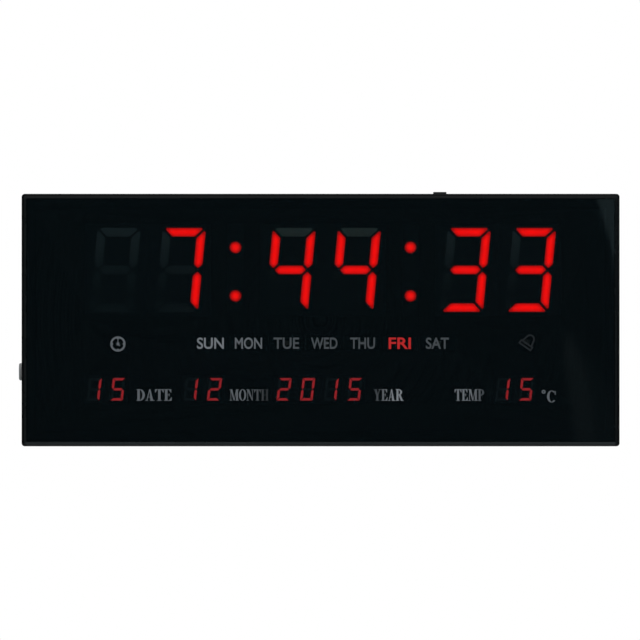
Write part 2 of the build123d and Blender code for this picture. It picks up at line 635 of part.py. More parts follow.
# Front panel, tape and film
def front_panel():
    panel = slab(case_outline(FRAME_WALL + PANEL_CLEARANCE), PANEL_BACK, PANEL_FRONT)
    return chamfer(panel.faces().sort_by(Axis.Y)[0].edges(), PANEL_BEVEL)


def panel_tape():
    outer = FRAME_WALL + PANEL_CLEARANCE + TAPE_MARGIN
    return slab(case_outline(outer) - case_outline(outer + TAPE_WIDTH), LEDGE_FRONT, PANEL_BACK)


def mask_film():
    """Black film on the panel's back with a window in front of every display and light box."""
    inset = FRAME_WALL + PANEL_CLEARANCE + TAPE_MARGIN + TAPE_WIDTH + FILM_MARGIN
    lap = 2 * FILM_LAP
    windows = []
    digits = time_digit_places()
    pair_width = DIGIT_PITCH + DIGIT_MODULE_WIDTH - lap
    for left, right in zip(digits[::2], digits[1::2]):
        at = Pos((left[0] + right[0]) / 2, TIME_ROW)
        windows.append(at * Rectangle(pair_width, DIGIT_MODULE_HEIGHT - lap))
    for x in colon_places():
        windows.append(Pos(x, TIME_ROW) * Rectangle(COLON_MODULE_WIDTH - lap, DIGIT_MODULE_HEIGHT - lap))
    for name, share in CALENDAR_CENTRE_SHARES.items():
        width = calendar_digits(name) * CALENDAR_PITCH - lap
        windows.append(Pos(CASE_WIDTH * share, CALENDAR_ROW) * Rectangle(width, CALENDAR_MODULE_HEIGHT - lap))
    windows += [Pos(*at) * Rectangle(WEEKDAY_CELL_WIDTH, WEEKDAY_CELL_HEIGHT) for at in weekday_places()]
    windows += [Pos(*at) * Rectangle(SIGN_CELL, SIGN_CELL) for at in sign_places()]
    return slab(case_outline(inset) - windows, FILM_BACK, PANEL_BACK)


# Displays
def calendar_digits(name):
    """How many digits a small display has."""
    return YEAR_DIGIT_COUNT if name == "year" else CALENDAR_DIGIT_COUNT


def segment_outlines(width, height, stroke, gap, slant_deg):
    """Seven bars of a digit about its middle, mitred where they meet and leaning to the right."""
    side = width / 2
    top = height / 2
    half = stroke / 2
    cut = gap / sqrt(2)
    lean = tan(radians(slant_deg))
    cap = [
        (side - cut, top),
        (cut - side, top),
        (stroke + cut - side, top - stroke),
        (side - stroke - cut, top - stroke),
    ]
    post = [
        (side, half + cut),
        (side, top - cut),
        (side - stroke, top - stroke - cut),
        (side - stroke, half + cut),
        (side - half, cut),
    ]
    tip = side - half - cut
    shoulder = side - stroke - cut
    bar = [(tip, 0), (shoulder, half), (-shoulder, half), (-tip, 0), (-shoulder, -half), (shoulder, -half)]
    bars = [(cap, 1, flip) for flip in (1, -1)]
    bars += [(post, turn, flip) for turn in (1, -1) for flip in (1, -1)]
    bars.append((bar, 1, 1))
    outlines = []
    for points, turn, flip in bars:
        mirrored = [(turn * x + flip * z * lean, flip * z) for x, z in points]
        # a single mirroring turns the outline's direction round, so its points are taken backwards
        ordered = mirrored if turn == flip else mirrored[::-1]
        outlines.append(Polygon(*ordered, align=None))
    return outlines


def time_digit_outlines(at):
    """Bars of one large digit, with rounded tips."""
    outlines = segment_outlines(DIGIT_WIDTH, DIGIT_HEIGHT, DIGIT_STROKE, DIGIT_GAP, DIGIT_SLANT_DEG)
    return [Pos(*at) * fillet(outline.vertices(), DIGIT_TIP_ROUND) for outline in outlines]


def calendar_outlines(name):
    """Bars of every digit of one small display."""
    count = calendar_digits(name)
    first = CASE_WIDTH * CALENDAR_CENTRE_SHARES[name] - (count - 1) * CALENDAR_PITCH / 2
    outlines = segment_outlines(
        CALENDAR_WIDTH, CALENDAR_HEIGHT, CALENDAR_STROKE, CALENDAR_GAP, CALENDAR_SLANT_DEG
    )
    places = [Pos(first + step * CALENDAR_PITCH, CALENDAR_ROW) for step in range(count)]
    return [at * outline for at in places for outline in outlines]


def segments(outlines):
    """Milky bars that fill a housing's openings, set back a little from its face."""
    return group([slab(outline, BOARD_FRONT, MODULE_FRONT - SEGMENT_RECESS) for outline in outlines])


def time_digit_housing(at):
    block = Pos(*at) * Rectangle(DIGIT_MODULE_WIDTH, DIGIT_MODULE_HEIGHT)
    return slab(block - time_digit_outlines(at), BOARD_FRONT, MODULE_FRONT)


def calendar_housing(name):
    width = calendar_digits(name) * CALENDAR_PITCH
    at = Pos(CASE_WIDTH * CALENDAR_CENTRE_SHARES[name], CALENDAR_ROW)
    block = at * Rectangle(width, CALENDAR_MODULE_HEIGHT)
    return slab(block - calendar_outlines(name), BOARD_FRONT, MODULE_FRONT)


def colon_dot_places():
    row = CASE_HEIGHT * COLON_ROW_SHARE
    return [(x, row + side * COLON_DOT_SPACING / 2) for x in colon_places() for side in (-1, 1)]


def colon_housings():
    holes = [Pos(*at) * Circle(COLON_DOT_RADIUS + COLON_DOT_FIT) for at in colon_dot_places()]
    block = Rectangle(COLON_MODULE_WIDTH, DIGIT_MODULE_HEIGHT)
    return group([slab(Pos(x, TIME_ROW) * block - holes, BOARD_FRONT, MODULE_FRONT) for x in colon_places()])


def colon_dots():
    dot = Circle(COLON_DOT_RADIUS)
    face = MODULE_FRONT - SEGMENT_RECESS
    return group([slab(Pos(*at) * dot, BOARD_FRONT, face) for at in colon_dot_places()])


def light_boxes():
    """Black grid that keeps the light of one weekday off the next, and a square box for each sign."""
    at = Pos(CASE_WIDTH * WEEKDAY_CENTRE_SHARE, CASE_HEIGHT * WEEKDAY_ROW_SHARE)
    cells = [Pos(*cell) * Rectangle(WEEKDAY_CELL_WIDTH, WEEKDAY_CELL_HEIGHT) for cell in weekday_places()]
    grid = at * Rectangle(WEEKDAY_BOX_WIDTH, WEEKDAY_BOX_HEIGHT) - cells
    box = Rectangle(SIGN_BOX, SIGN_BOX) - Rectangle(SIGN_CELL, SIGN_CELL)
    outlines = [grid] + [Pos(*place) * box for place in sign_places()]
    return group([slab(outline, BOARD_FRONT, MODULE_FRONT) for outline in outlines])


def indicator_lamps():
    """One small lamp with a round lens in each cell of the light boxes."""
    base = Rectangle(LAMP_LENGTH, LAMP_WIDTH)
    lens = Circle(LAMP_WIDTH * LAMP_DOME_SHARE)
    step = BOARD_FRONT + LAMP_HEIGHT / 2
    lamps = []
    for at in weekday_places() + sign_places():
        body = slab(Pos(*at) * base, BOARD_FRONT, step)
        lamps.append(body + slab(Pos(*at) * lens, step, BOARD_FRONT + LAMP_HEIGHT))
    return group(lamps)


# Board and what it carries at the back
def display_board():
    outline = RectangleRounded(BOARD_WIDTH, BOARD_HEIGHT, BOARD_CORNER)
    hole = Circle(BOARD_SCREW_RADIUS + SCREW_HOLE_CLEARANCE)
    outline -= [Pos(*at) * hole for at in board_post_places()]
    notch_reach = BOSS_RADIUS + BOARD_NOTCH_GAP
    for x, z in cover_screw_places():
        outwards = SCREW_INSET if z > 0 else -SCREW_INSET
        way_out = Pos(x, z + outwards / 2) * Rectangle(2 * notch_reach, SCREW_INSET)
        outline -= Pos(x, z) * Circle(notch_reach) + way_out
    return slab(outline, BOARD_BACK, BOARD_FRONT)


def pan_screw(at, seat, shank_radius, length, head_radius, head_height):
    """Pan-head screw with a cross slot; the head stands on its seat towards the wall."""
    head = slab(Pos(*at) * Circle(head_radius), seat - head_height, seat)
    head = chamfer(head.faces().sort_by(Axis.Y)[-1].edges(), head_height / 2)
    slot = Rectangle(head_radius * CROSS_SLOT_SHARE, CROSS_SLOT_WIDTH)
    top = seat - head_height
    for angle in (0, 90):
        head -= slab(Pos(*at) * Rot(0, 0, angle) * slot, top - OVERRUN, top + CROSS_SLOT_DEPTH)
    return head + slab(Pos(*at) * Circle(shank_radius), seat, seat + length)


def cover_screws():
    return group([
        pan_screw(at, SCREW_HEAD_SEAT, SCREW_RADIUS, SCREW_LENGTH, SCREW_HEAD_RADIUS, SCREW_HEAD_HEIGHT)
        for at in cover_screw_places()
    ])


def board_screws():
    return group([
        pan_screw(
            at, BOARD_BACK, BOARD_SCREW_RADIUS, BOARD_SCREW_LENGTH, BOARD_HEAD_RADIUS, BOARD_HEAD_HEIGHT
        )
        for at in board_post_places()
    ])


def chip(at):
    """Flat chip on the board's back with a row of bent legs along each long side."""
    x, z = at
    under = BOARD_BACK - CHIP_LIFT
    body = slab(Pos(x, z) * Rectangle(CHIP_LENGTH, CHIP_WIDTH), under - CHIP_HEIGHT, under)
    knee = under - CHIP_HEIGHT / 2
    half = CHIP_WIDTH / 2
    bend = half + CHIP_LEG_REACH / 2
    tip = half + CHIP_LEG_REACH
    sheet = CHIP_LEG_SHEET
    profile = [
        (half, knee),
        (bend, knee),
        (bend, BOARD_BACK - sheet),
        (tip, BOARD_BACK - sheet),
        (tip, BOARD_BACK),
        (bend - sheet, BOARD_BACK),
        (bend - sheet, knee + sheet),
        (half, knee + sheet),
    ]
    legs = []
    for side in (-1, 1):
        leg = Polygon(*[(-depth, side * across) for across, depth in profile], align=None)
        for step in range(CHIP_LEGS):
            start = x + (step - (CHIP_LEGS - 1) / 2) * CHIP_LEG_PITCH - CHIP_LEG_WIDTH / 2
            legs.append(rod_along_x(Pos(0, z) * leg, start, start + CHIP_LEG_WIDTH))
    return body + legs


def board_chips():
    """Controller in the middle and three display drivers round it."""
    return group([chip(board_place(shares)) for shares in CHIP_PLACE_SHARES])


def quartz_crystal():
    at = Pos(*board_place(CRYSTAL_SHARES))
    foot = SlotOverall(CRYSTAL_LENGTH, CRYSTAL_WIDTH)
    can = SlotOverall(CRYSTAL_LENGTH - CRYSTAL_FOOT, CRYSTAL_WIDTH - CRYSTAL_FOOT)
    top = BOARD_BACK - CRYSTAL_HEIGHT
    step = BOARD_BACK - CRYSTAL_FOOT
    return slab(at * foot, step, BOARD_BACK) + slab(at * can, top, step)


def capacitors():
    top = BOARD_BACK - CAPACITOR_HEIGHT
    cans = []
    for shares in CAPACITOR_SHARES:
        can = slab(Pos(*board_place(shares)) * Circle(CAPACITOR_RADIUS), top, BOARD_BACK)
        cans.append(chamfer(can.faces().sort_by(Axis.Y)[-1].edges(), CAPACITOR_BEVEL))
    return group(cans)


def temperature_sensor():
    """Half-round sensor on three legs, near the vents."""
    x, z = board_place(SENSOR_SHARES)
    foot = BOARD_BACK - SENSOR_LEG_LENGTH
    flat = SENSOR_RADIUS * SENSOR_FLAT_SHARE
    cut = Pos(0, -flat - SENSOR_RADIUS / 2) * Rectangle(2 * SENSOR_RADIUS, SENSOR_RADIUS)
    body = slab(Pos(x, z) * (Circle(SENSOR_RADIUS) - cut), foot - SENSOR_HEIGHT, foot)
    leg = Rectangle(SENSOR_LEG_SHEET, SENSOR_LEG_SHEET)
    legs = [slab(Pos(x + step * SENSOR_LEG_PITCH, z) * leg, foot, BOARD_BACK) for step in (-1, 0, 1)]
    return body + legs


def connector_places():
    return [
        (BOARD_WIDTH / 2 * POWER_CONNECTOR_SHARE, SOCKET_ROW),
        (BOARD_WIDTH / 2 * SPEAKER_CONNECTOR_SHARE, case_place(SPEAKER_PLACE_SHARES)[1]),
        (BOARD_WIDTH / 2 * CELL_CONNECTOR_SHARE, case_place(CELL_PLACE_SHARES)[1]),
    ]


def connectors():
    block = RectangleRounded(CONNECTOR_LENGTH, CONNECTOR_WIDTH, CONNECTOR_ROUND)
    top = BOARD_BACK - CONNECTOR_HEIGHT
    return group([slab(Pos(*at) * block, top, BOARD_BACK) for at in connector_places()])


# Buttons and switches
def set_button(at):
    """Round cap with a bevelled end, a flange behind the cover and a stem that meets its switch."""
    flange_near = SET_PAD_TOP + BUTTON_FLANGE_GAP
    flange_far = flange_near + BUTTON_FLANGE_THICKNESS
    cap = slab(Pos(*at) * Circle(SET_BUTTON_RADIUS), SET_BUTTON_SINK, flange_near)
    cap = chamfer(cap.faces().sort_by(Axis.Y)[-1].edges(), SET_BUTTON_BEVEL)
    cap += slab(Pos(*at) * Circle(SET_BUTTON_RADIUS + BUTTON_FLANGE_LIP), flange_near, flange_far)
    return cap + slab(Pos(*at) * Circle(STEM_RADIUS), flange_far, PLUNGER_TOP)


def set_plunger(at):
    return slab(Pos(*at) * Circle(PLUNGER_RADIUS), PLUNGER_TOP, SWITCH_TOP + PLUNGER_HELD)


def rounded_key(length, width, corner, bottom, top):
    """Oblong block on the line of the top button, from one height to another."""
    at = Pos(TOP_BUTTON_X, -TOP_SWITCH_DEPTH)
    return extrude(Plane.XY.offset(bottom) * at * RectangleRounded(length, width, corner), top - bottom)


def top_button():
    """Oblong cap through the top wall with a flange inside it, resting on its switch."""
    top = CASE_HEIGHT / 2 + TOP_BUTTON_PROUD
    cap = rounded_key(TOP_BUTTON_LENGTH, TOP_BUTTON_WIDTH, TOP_BUTTON_CORNER, TOP_FLANGE_TOP, top)
    cap = fillet(cap.faces().sort_by(Axis.Z)[-1].edges(), TOP_BUTTON_CROWN)
    lip = 2 * TOP_FLANGE_LIP
    flange = rounded_key(
        TOP_BUTTON_LENGTH + lip, TOP_BUTTON_WIDTH + lip, TOP_BUTTON_CORNER, TOP_PLUNGER_TOP, TOP_FLANGE_TOP
    )
    return cap + flange


def top_round(radius, bottom, top):
    at = Pos(TOP_BUTTON_X, -TOP_SWITCH_DEPTH)
    return extrude(Plane.XY.offset(bottom) * at * Circle(radius), top - bottom)


def top_plunger():
    return top_round(PLUNGER_RADIUS, TOP_SWITCH_TOP - PLUNGER_HELD, TOP_PLUNGER_TOP)


def switch_bodies():
    """Four upright switches behind the set buttons and one on its side under the top button."""
    bore_radius = PLUNGER_RADIUS + BUTTON_CLEARANCE
    bore_depth = PLUNGER_HELD + BUTTON_TRAVEL + PLUNGER_SPARE
    square = Rectangle(SWITCH_SIZE, SWITCH_SIZE)
    bodies = []
    for at in set_button_places():
        body = slab(Pos(*at) * square, SWITCH_TOP, BOARD_BACK)
        bore = slab(Pos(*at) * Circle(bore_radius), SWITCH_TOP - OVERRUN, SWITCH_TOP + bore_depth)
        bodies.append(body - bore)
    upright = Pos(TOP_BUTTON_X, TOP_SWITCH_TOP - SWITCH_HEIGHT / 2) * Rectangle(SWITCH_SIZE, SWITCH_HEIGHT)
    body = slab(upright, BOARD_BACK - SWITCH_SIZE, BOARD_BACK)
    bodies.append(body - top_round(bore_radius, TOP_SWITCH_TOP - bore_depth, TOP_SWITCH_TOP + OVERRUN))
    return group(bodies)


# Speaker
def speaker_cone():
    """Thin cone whose edge lies on the cover, sinking to a flat cap."""
    edge = COVER_PLATE
    slope = SPEAKER_RADIUS - SPEAKER_RIM_WIDTH
    cap = edge + CONE_DEPTH
    profile = [
        (0, cap),
        (CONE_CAP_RADIUS, cap),
        (slope, edge),
        (SPEAKER_RADIUS, edge),
        (SPEAKER_RADIUS, edge + CONE_THICKNESS),
        (slope, edge + CONE_THICKNESS),
        (CONE_CAP_RADIUS, cap + CONE_THICKNESS),
        (0, cap + CONE_THICKNESS),
    ]
    return turned(profile, case_place(SPEAKER_PLACE_SHARES))


def speaker_basket():
    """Pressed basket: a flat rim on the cone's edge, sloping sides and a flat back."""
    rim = COVER_PLATE + CONE_THICKNESS
    shoulder = rim + SPEAKER_RIM_THICKNESS
    profile = [
        (0, SPEAKER_BACK - SPEAKER_SHEET),
        (SPEAKER_BACK_RADIUS - SPEAKER_SHEET, SPEAKER_BACK - SPEAKER_SHEET),
        (SPEAKER_RADIUS - SPEAKER_RIM_WIDTH, shoulder),
        (SPEAKER_RADIUS - SPEAKER_RIM_WIDTH, rim),
        (SPEAKER_RADIUS, rim),
        (SPEAKER_RADIUS, shoulder),
        (SPEAKER_BACK_RADIUS, SPEAKER_BACK),
        (0, SPEAKER_BACK),
    ]
    return turned(profile, case_place(SPEAKER_PLACE_SHARES))


def speaker_magnet():
    at = Pos(*case_place(SPEAKER_PLACE_SHARES))
    magnet = slab(at * Circle(MAGNET_RADIUS), SPEAKER_BACK, SPEAKER_BACK + MAGNET_HEIGHT)
    return chamfer(magnet.faces().sort_by(Axis.Y)[0].edges(), SPEAKER_SHEET / 2)


# Power socket
def socket_round(radius, start, end):
    return rod_along_x(Pos(-SOCKET_DEPTH, SOCKET_ROW) * Circle(radius), start, end)


def dc_socket():
    """Round socket from outside the left wall inwards, bored for a plug."""
    outside = -CASE_WIDTH / 2
    face = outside - SOCKET_FLANGE_PROUD
    flange = socket_round(SOCKET_FLANGE_RADIUS, face, outside)
    flange = chamfer(flange.faces().sort_by(Axis.X)[0].edges(), SOCKET_FLANGE_PROUD / 3)
    socket = flange + socket_round(SOCKET_BARREL_RADIUS, outside, SOCKET_INNER_END)
    return socket - socket_round(SOCKET_BORE_RADIUS, face - OVERRUN, face + SOCKET_BORE_DEPTH)


def dc_socket_contacts():
    """Centre pin in the socket and two solder tags behind it."""
    bore_end = SOCKET_BORE_DEPTH - SOCKET_FLANGE_PROUD - CASE_WIDTH / 2
    pin = socket_round(SOCKET_PIN_RADIUS, bore_end - SOCKET_PIN_LENGTH, bore_end)
    pin = chamfer(pin.faces().sort_by(Axis.X)[0].edges(), SOCKET_PIN_RADIUS / 2)
    tag = Rectangle(SOCKET_TAG_WIDTH, SOCKET_TAG_SHEET)
    tags = []
    for side in (-1, 1):
        at = Pos(-SOCKET_DEPTH, SOCKET_ROW + side * SOCKET_TAG_SPACING / 2)
        tags.append(rod_along_x(at * tag, SOCKET_INNER_END, SOCKET_INNER_END + SOCKET_TAG_LENGTH))
    return group([pin] + tags)


def dc_socket_nut():
    inner_face = FRAME_WALL - CASE_WIDTH / 2
    flats = RegularPolygon(SOCKET_NUT_FLATS / 2, 6, major_radius=False)
    ring = Pos(-SOCKET_DEPTH, SOCKET_ROW) * (flats - Circle(SOCKET_BARREL_RADIUS + SOCKET_FIT))
    return rod_along_x(ring, inner_face, inner_face + SOCKET_NUT_THICKNESS)


# Leads
def lead_rows(height):
    """Heights of the two wires of a lead about a middle height."""
    return [height + side * LEAD_SPACING / 2 for side in (-1, 1)]


def wire(points):
    """Round wire along straight runs with a bend at each inner point as wide as its two runs allow."""
    corners = [Vector(*point) for point in points]
    bends = []
    for before, corner, after in zip(corners, corners[1:], corners[2:]):
        run = min((corner - before).length, (after - corner).length)
        turn = (corner - before).get_angle(after - corner)
        bends.append(LEAD_BEND_SHARE * run / tan(radians(turn) / 2))
    path = FilletPolyline(*corners, radius=bends)
    return sweep(Plane(origin=path @ 0, z_dir=path % 0) * Circle(LEAD_RADIUS), path)


def power_leads():
    """From the socket's tags, back past the edge of the board, into the power connector."""
    start = SOCKET_INNER_END + SOCKET_TAG_LENGTH
    end = connector_places()[0][0] - CONNECTOR_LENGTH / 2
    run = (end - start) / 3
    wires = []
    for tag_row, row in zip((-1, 1), lead_rows(SOCKET_ROW)):
        tag_height = SOCKET_ROW + tag_row * SOCKET_TAG_SPACING / 2
        wires.append(wire([
            (start, -SOCKET_DEPTH, tag_height),
            (start + run, -SOCKET_DEPTH, tag_height),
            (start + 2 * run, -CONNECTOR_MIDDLE, row),
            (end, -CONNECTOR_MIDDLE, row),
        ]))
    return wires


def elbow_leads(start_x, start_depth, end_x, height):
    """Two wires that leave straight towards the board and turn once along it into a connector."""
    wires = []
    for row in lead_rows(height):
        wires.append(wire([
            (start_x, -start_depth, row),
            (start_x, -CONNECTOR_MIDDLE, row),
            (end_x, -CONNECTOR_MIDDLE, row),
        ]))
    return wires


def lead_wires():
    """Two wires each from the power socket, the speaker and the cell to their connectors on the board."""
    speaker_x, speaker_z = case_place(SPEAKER_PLACE_SHARES)
    speaker_end = connector_places()[1][0] - CONNECTOR_LENGTH / 2
    cell_x, cell_z = case_place(CELL_PLACE_SHARES)
    cell_end = connector_places()[2][0] + CONNECTOR_LENGTH / 2
    wires = power_leads()
    wires += elbow_leads(speaker_x + SPEAKER_LEAD_REACH, SPEAKER_BACK, speaker_end, speaker_z)
    wires += elbow_leads(cell_x - CELL_LEAD_REACH, WELL_BOTTOM, cell_end, cell_z)
    return group(wires)


# Assembly
def all_pieces():
    pieces = {
        "front_frame": front_frame(),
        "front_panel": front_panel(),
        "panel_tape": panel_tape(),
        "mask_film": mask_film(),
        "rear_cover": rear_cover(),
        "cover_screws": cover_screws(),
        "battery_hatch": battery_hatch(),
        "coin_cell": coin_cell(),
        "cell_contacts": cell_contacts(),
        "display_board": display_board(),
        "board_screws": board_screws(),
        "colon_housings": colon_housings(),
        "colon_dots": colon_dots(),
        "light_boxes": light_boxes(),
        "indicator_lamps": indicator_lamps(),
        "board_chips": board_chips(),
        "quartz_crystal": quartz_crystal(),
        "capacitors": capacitors(),
        "temperature_sensor": temperature_sensor(),
        "connectors": connectors(),
        "switch_bodies": switch_bodies(),
        "top_button": top_button(),
        "top_plunger": top_plunger(),
        "speaker_cone": speaker_cone(),
        "speaker_basket": speaker_basket(),
        "speaker_magnet": speaker_magnet(),
        "dc_socket": dc_socket(),
        "dc_socket_contacts": dc_socket_contacts(),
        "dc_socket_nut": dc_socket_nut(),
        "lead_wires": lead_wires(),
    }
    digits = ("hour_tens", "hour_ones", "minute_tens", "minute_ones", "second_tens", "second_ones")
    for name, at in zip(digits, time_digit_places()):
        pieces[f"{name}_housing"] = time_digit_housing(at)
        pieces[f"{name}_segments"] = segments(time_digit_outlines(at))
    for name in CALENDAR_CENTRE_SHARES:
        pieces[f"{name}_housing"] = calendar_housing(name)
        pieces[f"{name}_segments"] = segments(calendar_outlines(name))
    for name, at in zip(SET_BUTTONS, set_button_places()):
        pieces[name] = set_button(at)
    plungers = [set_plunger(at) for at in set_button_places()]
    for name, plunger in zip(SET_BUTTONS, plungers):
        pieces[name.replace("button", "plunger")] = plunger
    return pieces


os.makedirs("parts", exist_ok=True)
for piece_name, piece in all_pieces().items():
    export_step(piece, f"parts/{piece_name}.step")
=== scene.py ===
"""Looks of a digital wall clock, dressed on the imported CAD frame.

X runs to the right and Z up as a reader sees the clock. The wall is at Y = 0 and the reader at -Y.
Sizes are in millimetres and turn into metres where a mesh, lamp or camera is made.
"""
import logging
import math
from collections.abc import Sequence
from dataclasses import dataclass
from enum import Enum
from typing import Any, ClassVar

import bpy
from mathutils import Matrix, Vector
from mathutils.geometry import delaunay_2d_cdt

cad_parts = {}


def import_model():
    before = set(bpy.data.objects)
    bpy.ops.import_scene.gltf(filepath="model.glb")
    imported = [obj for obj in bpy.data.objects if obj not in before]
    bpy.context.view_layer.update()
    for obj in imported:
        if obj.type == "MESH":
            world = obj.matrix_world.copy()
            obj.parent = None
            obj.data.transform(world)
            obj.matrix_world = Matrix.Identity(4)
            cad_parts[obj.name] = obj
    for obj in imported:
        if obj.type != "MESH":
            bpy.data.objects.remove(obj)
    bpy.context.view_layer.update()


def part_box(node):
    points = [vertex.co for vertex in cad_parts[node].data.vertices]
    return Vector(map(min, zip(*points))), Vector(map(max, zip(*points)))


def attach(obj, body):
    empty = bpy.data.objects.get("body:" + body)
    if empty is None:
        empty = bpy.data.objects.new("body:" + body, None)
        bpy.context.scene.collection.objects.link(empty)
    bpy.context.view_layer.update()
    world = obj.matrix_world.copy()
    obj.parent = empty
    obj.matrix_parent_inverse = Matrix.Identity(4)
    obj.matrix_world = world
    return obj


LOG = logging.getLogger("wall_clock")
MM = 0.001
MICROMETRE = 1e-6
WHITE = (1.0, 1.0, 1.0, 1.0)
# A noise lies mostly between these two values
NOISE_LOW = 0.3
NOISE_HIGH = 0.7
Point = tuple[float, float]
Place = tuple[float, float, float]
Outline = list[Point]
Socket = bpy.types.NodeSocket
Tree = bpy.types.NodeTree


# Objects, nodes and colours
def linear(hex_colour: str) -> tuple[float, float, float, float]:
    """Turn an sRGB colour into linear light.

    Args:
        hex_colour: six hex digits after a #.

    Returns:
        Linear red, green, blue and an alpha of 1.
    """
    shares = [int(hex_colour[at : at + 2], 16) / 255 for at in (1, 3, 5)]
    light = [s / 12.92 if s <= 0.04045 else ((s + 0.055) / 1.055) ** 2.4 for s in shares]
    return light[0], light[1], light[2], 1.0


def per_mm(size: float) -> float:
    """Return the texture scale whose features are about this many millimetres across."""
    return 1 / (size * MM)


def placed(name: str, data: bpy.types.ID) -> bpy.types.Object:
    """Put a mesh, curve, light or camera into the scene.

    Args:
        name: the object's name.
        data: what the object holds.

    Returns:
        The new object.
    """
    holder = bpy.data.objects.new(name, data)
    bpy.context.scene.collection.objects.link(holder)
    return holder


def meshed(
    name: str,
    corners: Sequence[Sequence[float]],
    faces: Sequence[Sequence[int]],
) -> bpy.types.Object:
    """Make a mesh and put it into the scene.

    Args:
        name: the object's name.
        corners: the places of its corners in millimetres.
        faces: the corner numbers of each face.

    Returns:
        The new object.
    """
    mesh = bpy.data.meshes.new(name)
    mesh.from_pydata([[length * MM for length in corner] for corner in corners], [], faces)
    mesh.update()
    return placed(name, mesh)


def evaluated_mesh(holder: bpy.types.Object) -> bpy.types.Mesh:
    """Return the plain mesh that an object evaluates to."""
    graph = bpy.context.evaluated_depsgraph_get()
    return bpy.data.meshes.new_from_object(holder.evaluated_get(graph))


def emptied(owner: bpy.types.Material | bpy.types.World) -> Tree:
    """Switch a material or a world to nodes.

    Args:
        owner: the material or world.

    Returns:
        Its tree, with no node in it.
    """
    owner.use_nodes = True
    owner.node_tree.nodes.clear()
    return owner.node_tree


def add_node(
    tree: Tree,
    kind: str,
    settings: dict[str, Any] | None = None,
    inputs: dict[str | int, Any] | None = None,
) -> bpy.types.Node:
    """Add one node to a tree.

    Args:
        tree: the shader or geometry tree.
        kind: the node's type name.
        settings: properties of the node.
        inputs: values by socket name or number; an output socket is linked.

    Returns:
        The new node.
    """
    node = tree.nodes.new(kind)
    for name, value in (settings or {}).items():
        setattr(node, name, value)
    for key, value in (inputs or {}).items():
        if isinstance(value, Socket):
            tree.links.new(value, node.inputs[key])
        else:
            node.inputs[key].default_value = value
    return node


# Patterns
def uneven(tree: Tree, size: float, detail: float = 1.0, stretch: Place = (1.0, 1.0, 1.0)) -> Socket:
    """Build a random pattern in the piece's own frame.

    Args:
        tree: the shader tree.
        size: feature size in millimetres.
        detail: octaves of finer features.
        stretch: how many times finer the features are along each axis.

    Returns:
        The socket of the pattern's value.
    """
    place = add_node(tree, "ShaderNodeTexCoord").outputs["Object"]
    mapped = add_node(tree, "ShaderNodeMapping", inputs={"Vector": place, "Scale": stretch})
    inputs = {"Vector": mapped.outputs["Vector"], "Scale": per_mm(size), "Detail": detail}
    return add_node(tree, "ShaderNodeTexNoise", inputs=inputs).outputs["Fac"]


def follow(
    tree: Tree,
    pattern: Socket,
    colours: tuple[str, str] | None = None,
    ranges: dict[str, Point] | None = None,
    relief: Point | None = None,
) -> dict[str, Any]:
    """Let inputs of a shader follow a pattern.

    Args:
        tree: the shader tree.
        pattern: the socket of the pattern's value.
        colours: hex colours for the pattern's values 0 and 1, if the colour follows it.
        ranges: values at a noise's low and high end, by the name of each input that follows it.
        relief: a bump's strength and its depth in millimetres, if the surface is raised by it.

    Returns:
        The sockets to link, by the names of the shader's inputs.
    """
    inputs: dict[str, Any] = {}
    if colours:
        ends = {"A": linear(colours[0]), "B": linear(colours[1])}
        mixed = add_node(tree, "ShaderNodeMix", {"data_type": "RGBA"}, {"Factor": pattern, **ends})
        inputs["Base Color"] = mixed.outputs["Result"]
    for name, (low, high) in (ranges or {}).items():
        ends = {"From Min": NOISE_LOW, "From Max": NOISE_HIGH, "To Min": low, "To Max": high}
        ranged = add_node(tree, "ShaderNodeMapRange", inputs={"Value": pattern, **ends})
        inputs[name] = ranged.outputs["Result"]
    if relief:
        sizes = {"Strength": relief[0], "Distance": relief[1] * MM}
        bump = add_node(tree, "ShaderNodeBump", inputs={"Height": pattern, **sizes})
        inputs["Normal"] = bump.outputs["Normal"]
    return inputs


# Finishes
@dataclass(frozen=True)
class Finish:
    """A surface finish; its material is made once and shared."""

    name: str
    made: ClassVar[dict[str, bpy.types.Material]] = {}

    def material(self) -> bpy.types.Material:
        """Make the finish's material on its first use.

        Returns:
            The material.
        """
        if self.name not in self.made:
            material = bpy.data.materials.new(self.name)
            tree = emptied(material)
            shader = add_node(tree, "ShaderNodeBsdfPrincipled", inputs=self.skin(tree))
            add_node(tree, "ShaderNodeOutputMaterial", inputs={"Surface": shader.outputs["BSDF"]})
            self.made[self.name] = material
        return self.made[self.name]

    def skin(self, tree: Tree) -> dict[str, Any]:
        """Build the finish's patterns in a shader tree and return the shader's inputs by name."""
        raise NotImplementedError


@dataclass(frozen=True)
class MouldedPlastic(Finish):
    """Injection-moulded plastic: a sparked grain, cloudy sheen and faint shifts of colour."""

    colour: str
    shade: str
    roughness: float
    grain: float = 0.35
    grain_depth: float = 0.012
    grain_strength: float = 0.6
    cloud: float = 22.0
    cloud_detail: float = 3.0
    sheen_shift: float = 0.07
    grain_shade: float = 0.0

    def skin(self, tree: Tree) -> dict[str, Any]:
        """Vary colour and gloss by a large cloud and bump the mould's grain, whose height may also add
        painted shade to the colour.

        Args:
            tree: the shader tree.

        Returns:
            The shader's inputs by name.
        """
        cloud = uneven(tree, self.cloud, self.cloud_detail)
        grain = uneven(tree, self.grain)
        tint = cloud
        # Painted shade of the grain: its raised peaks lighter, its valleys darker
        if self.grain_shade:
            grain_shading = follow(tree, grain, ranges={"Grain Shading": (-self.grain_shade, self.grain_shade)})["Grain Shading"]
            tint = add_node(tree, "ShaderNodeMath", {"use_clamp": True}, {0: cloud, 1: grain_shading}).outputs[0]
        sheen = (self.roughness - self.sheen_shift, self.roughness + self.sheen_shift)
        return {
            **follow(tree, tint, (self.colour, self.shade)),
            **follow(tree, cloud, ranges={"Roughness": sheen}),
            **follow(tree, grain, relief=(self.grain_strength, self.grain_depth)),
            "IOR": 1.53,
        }


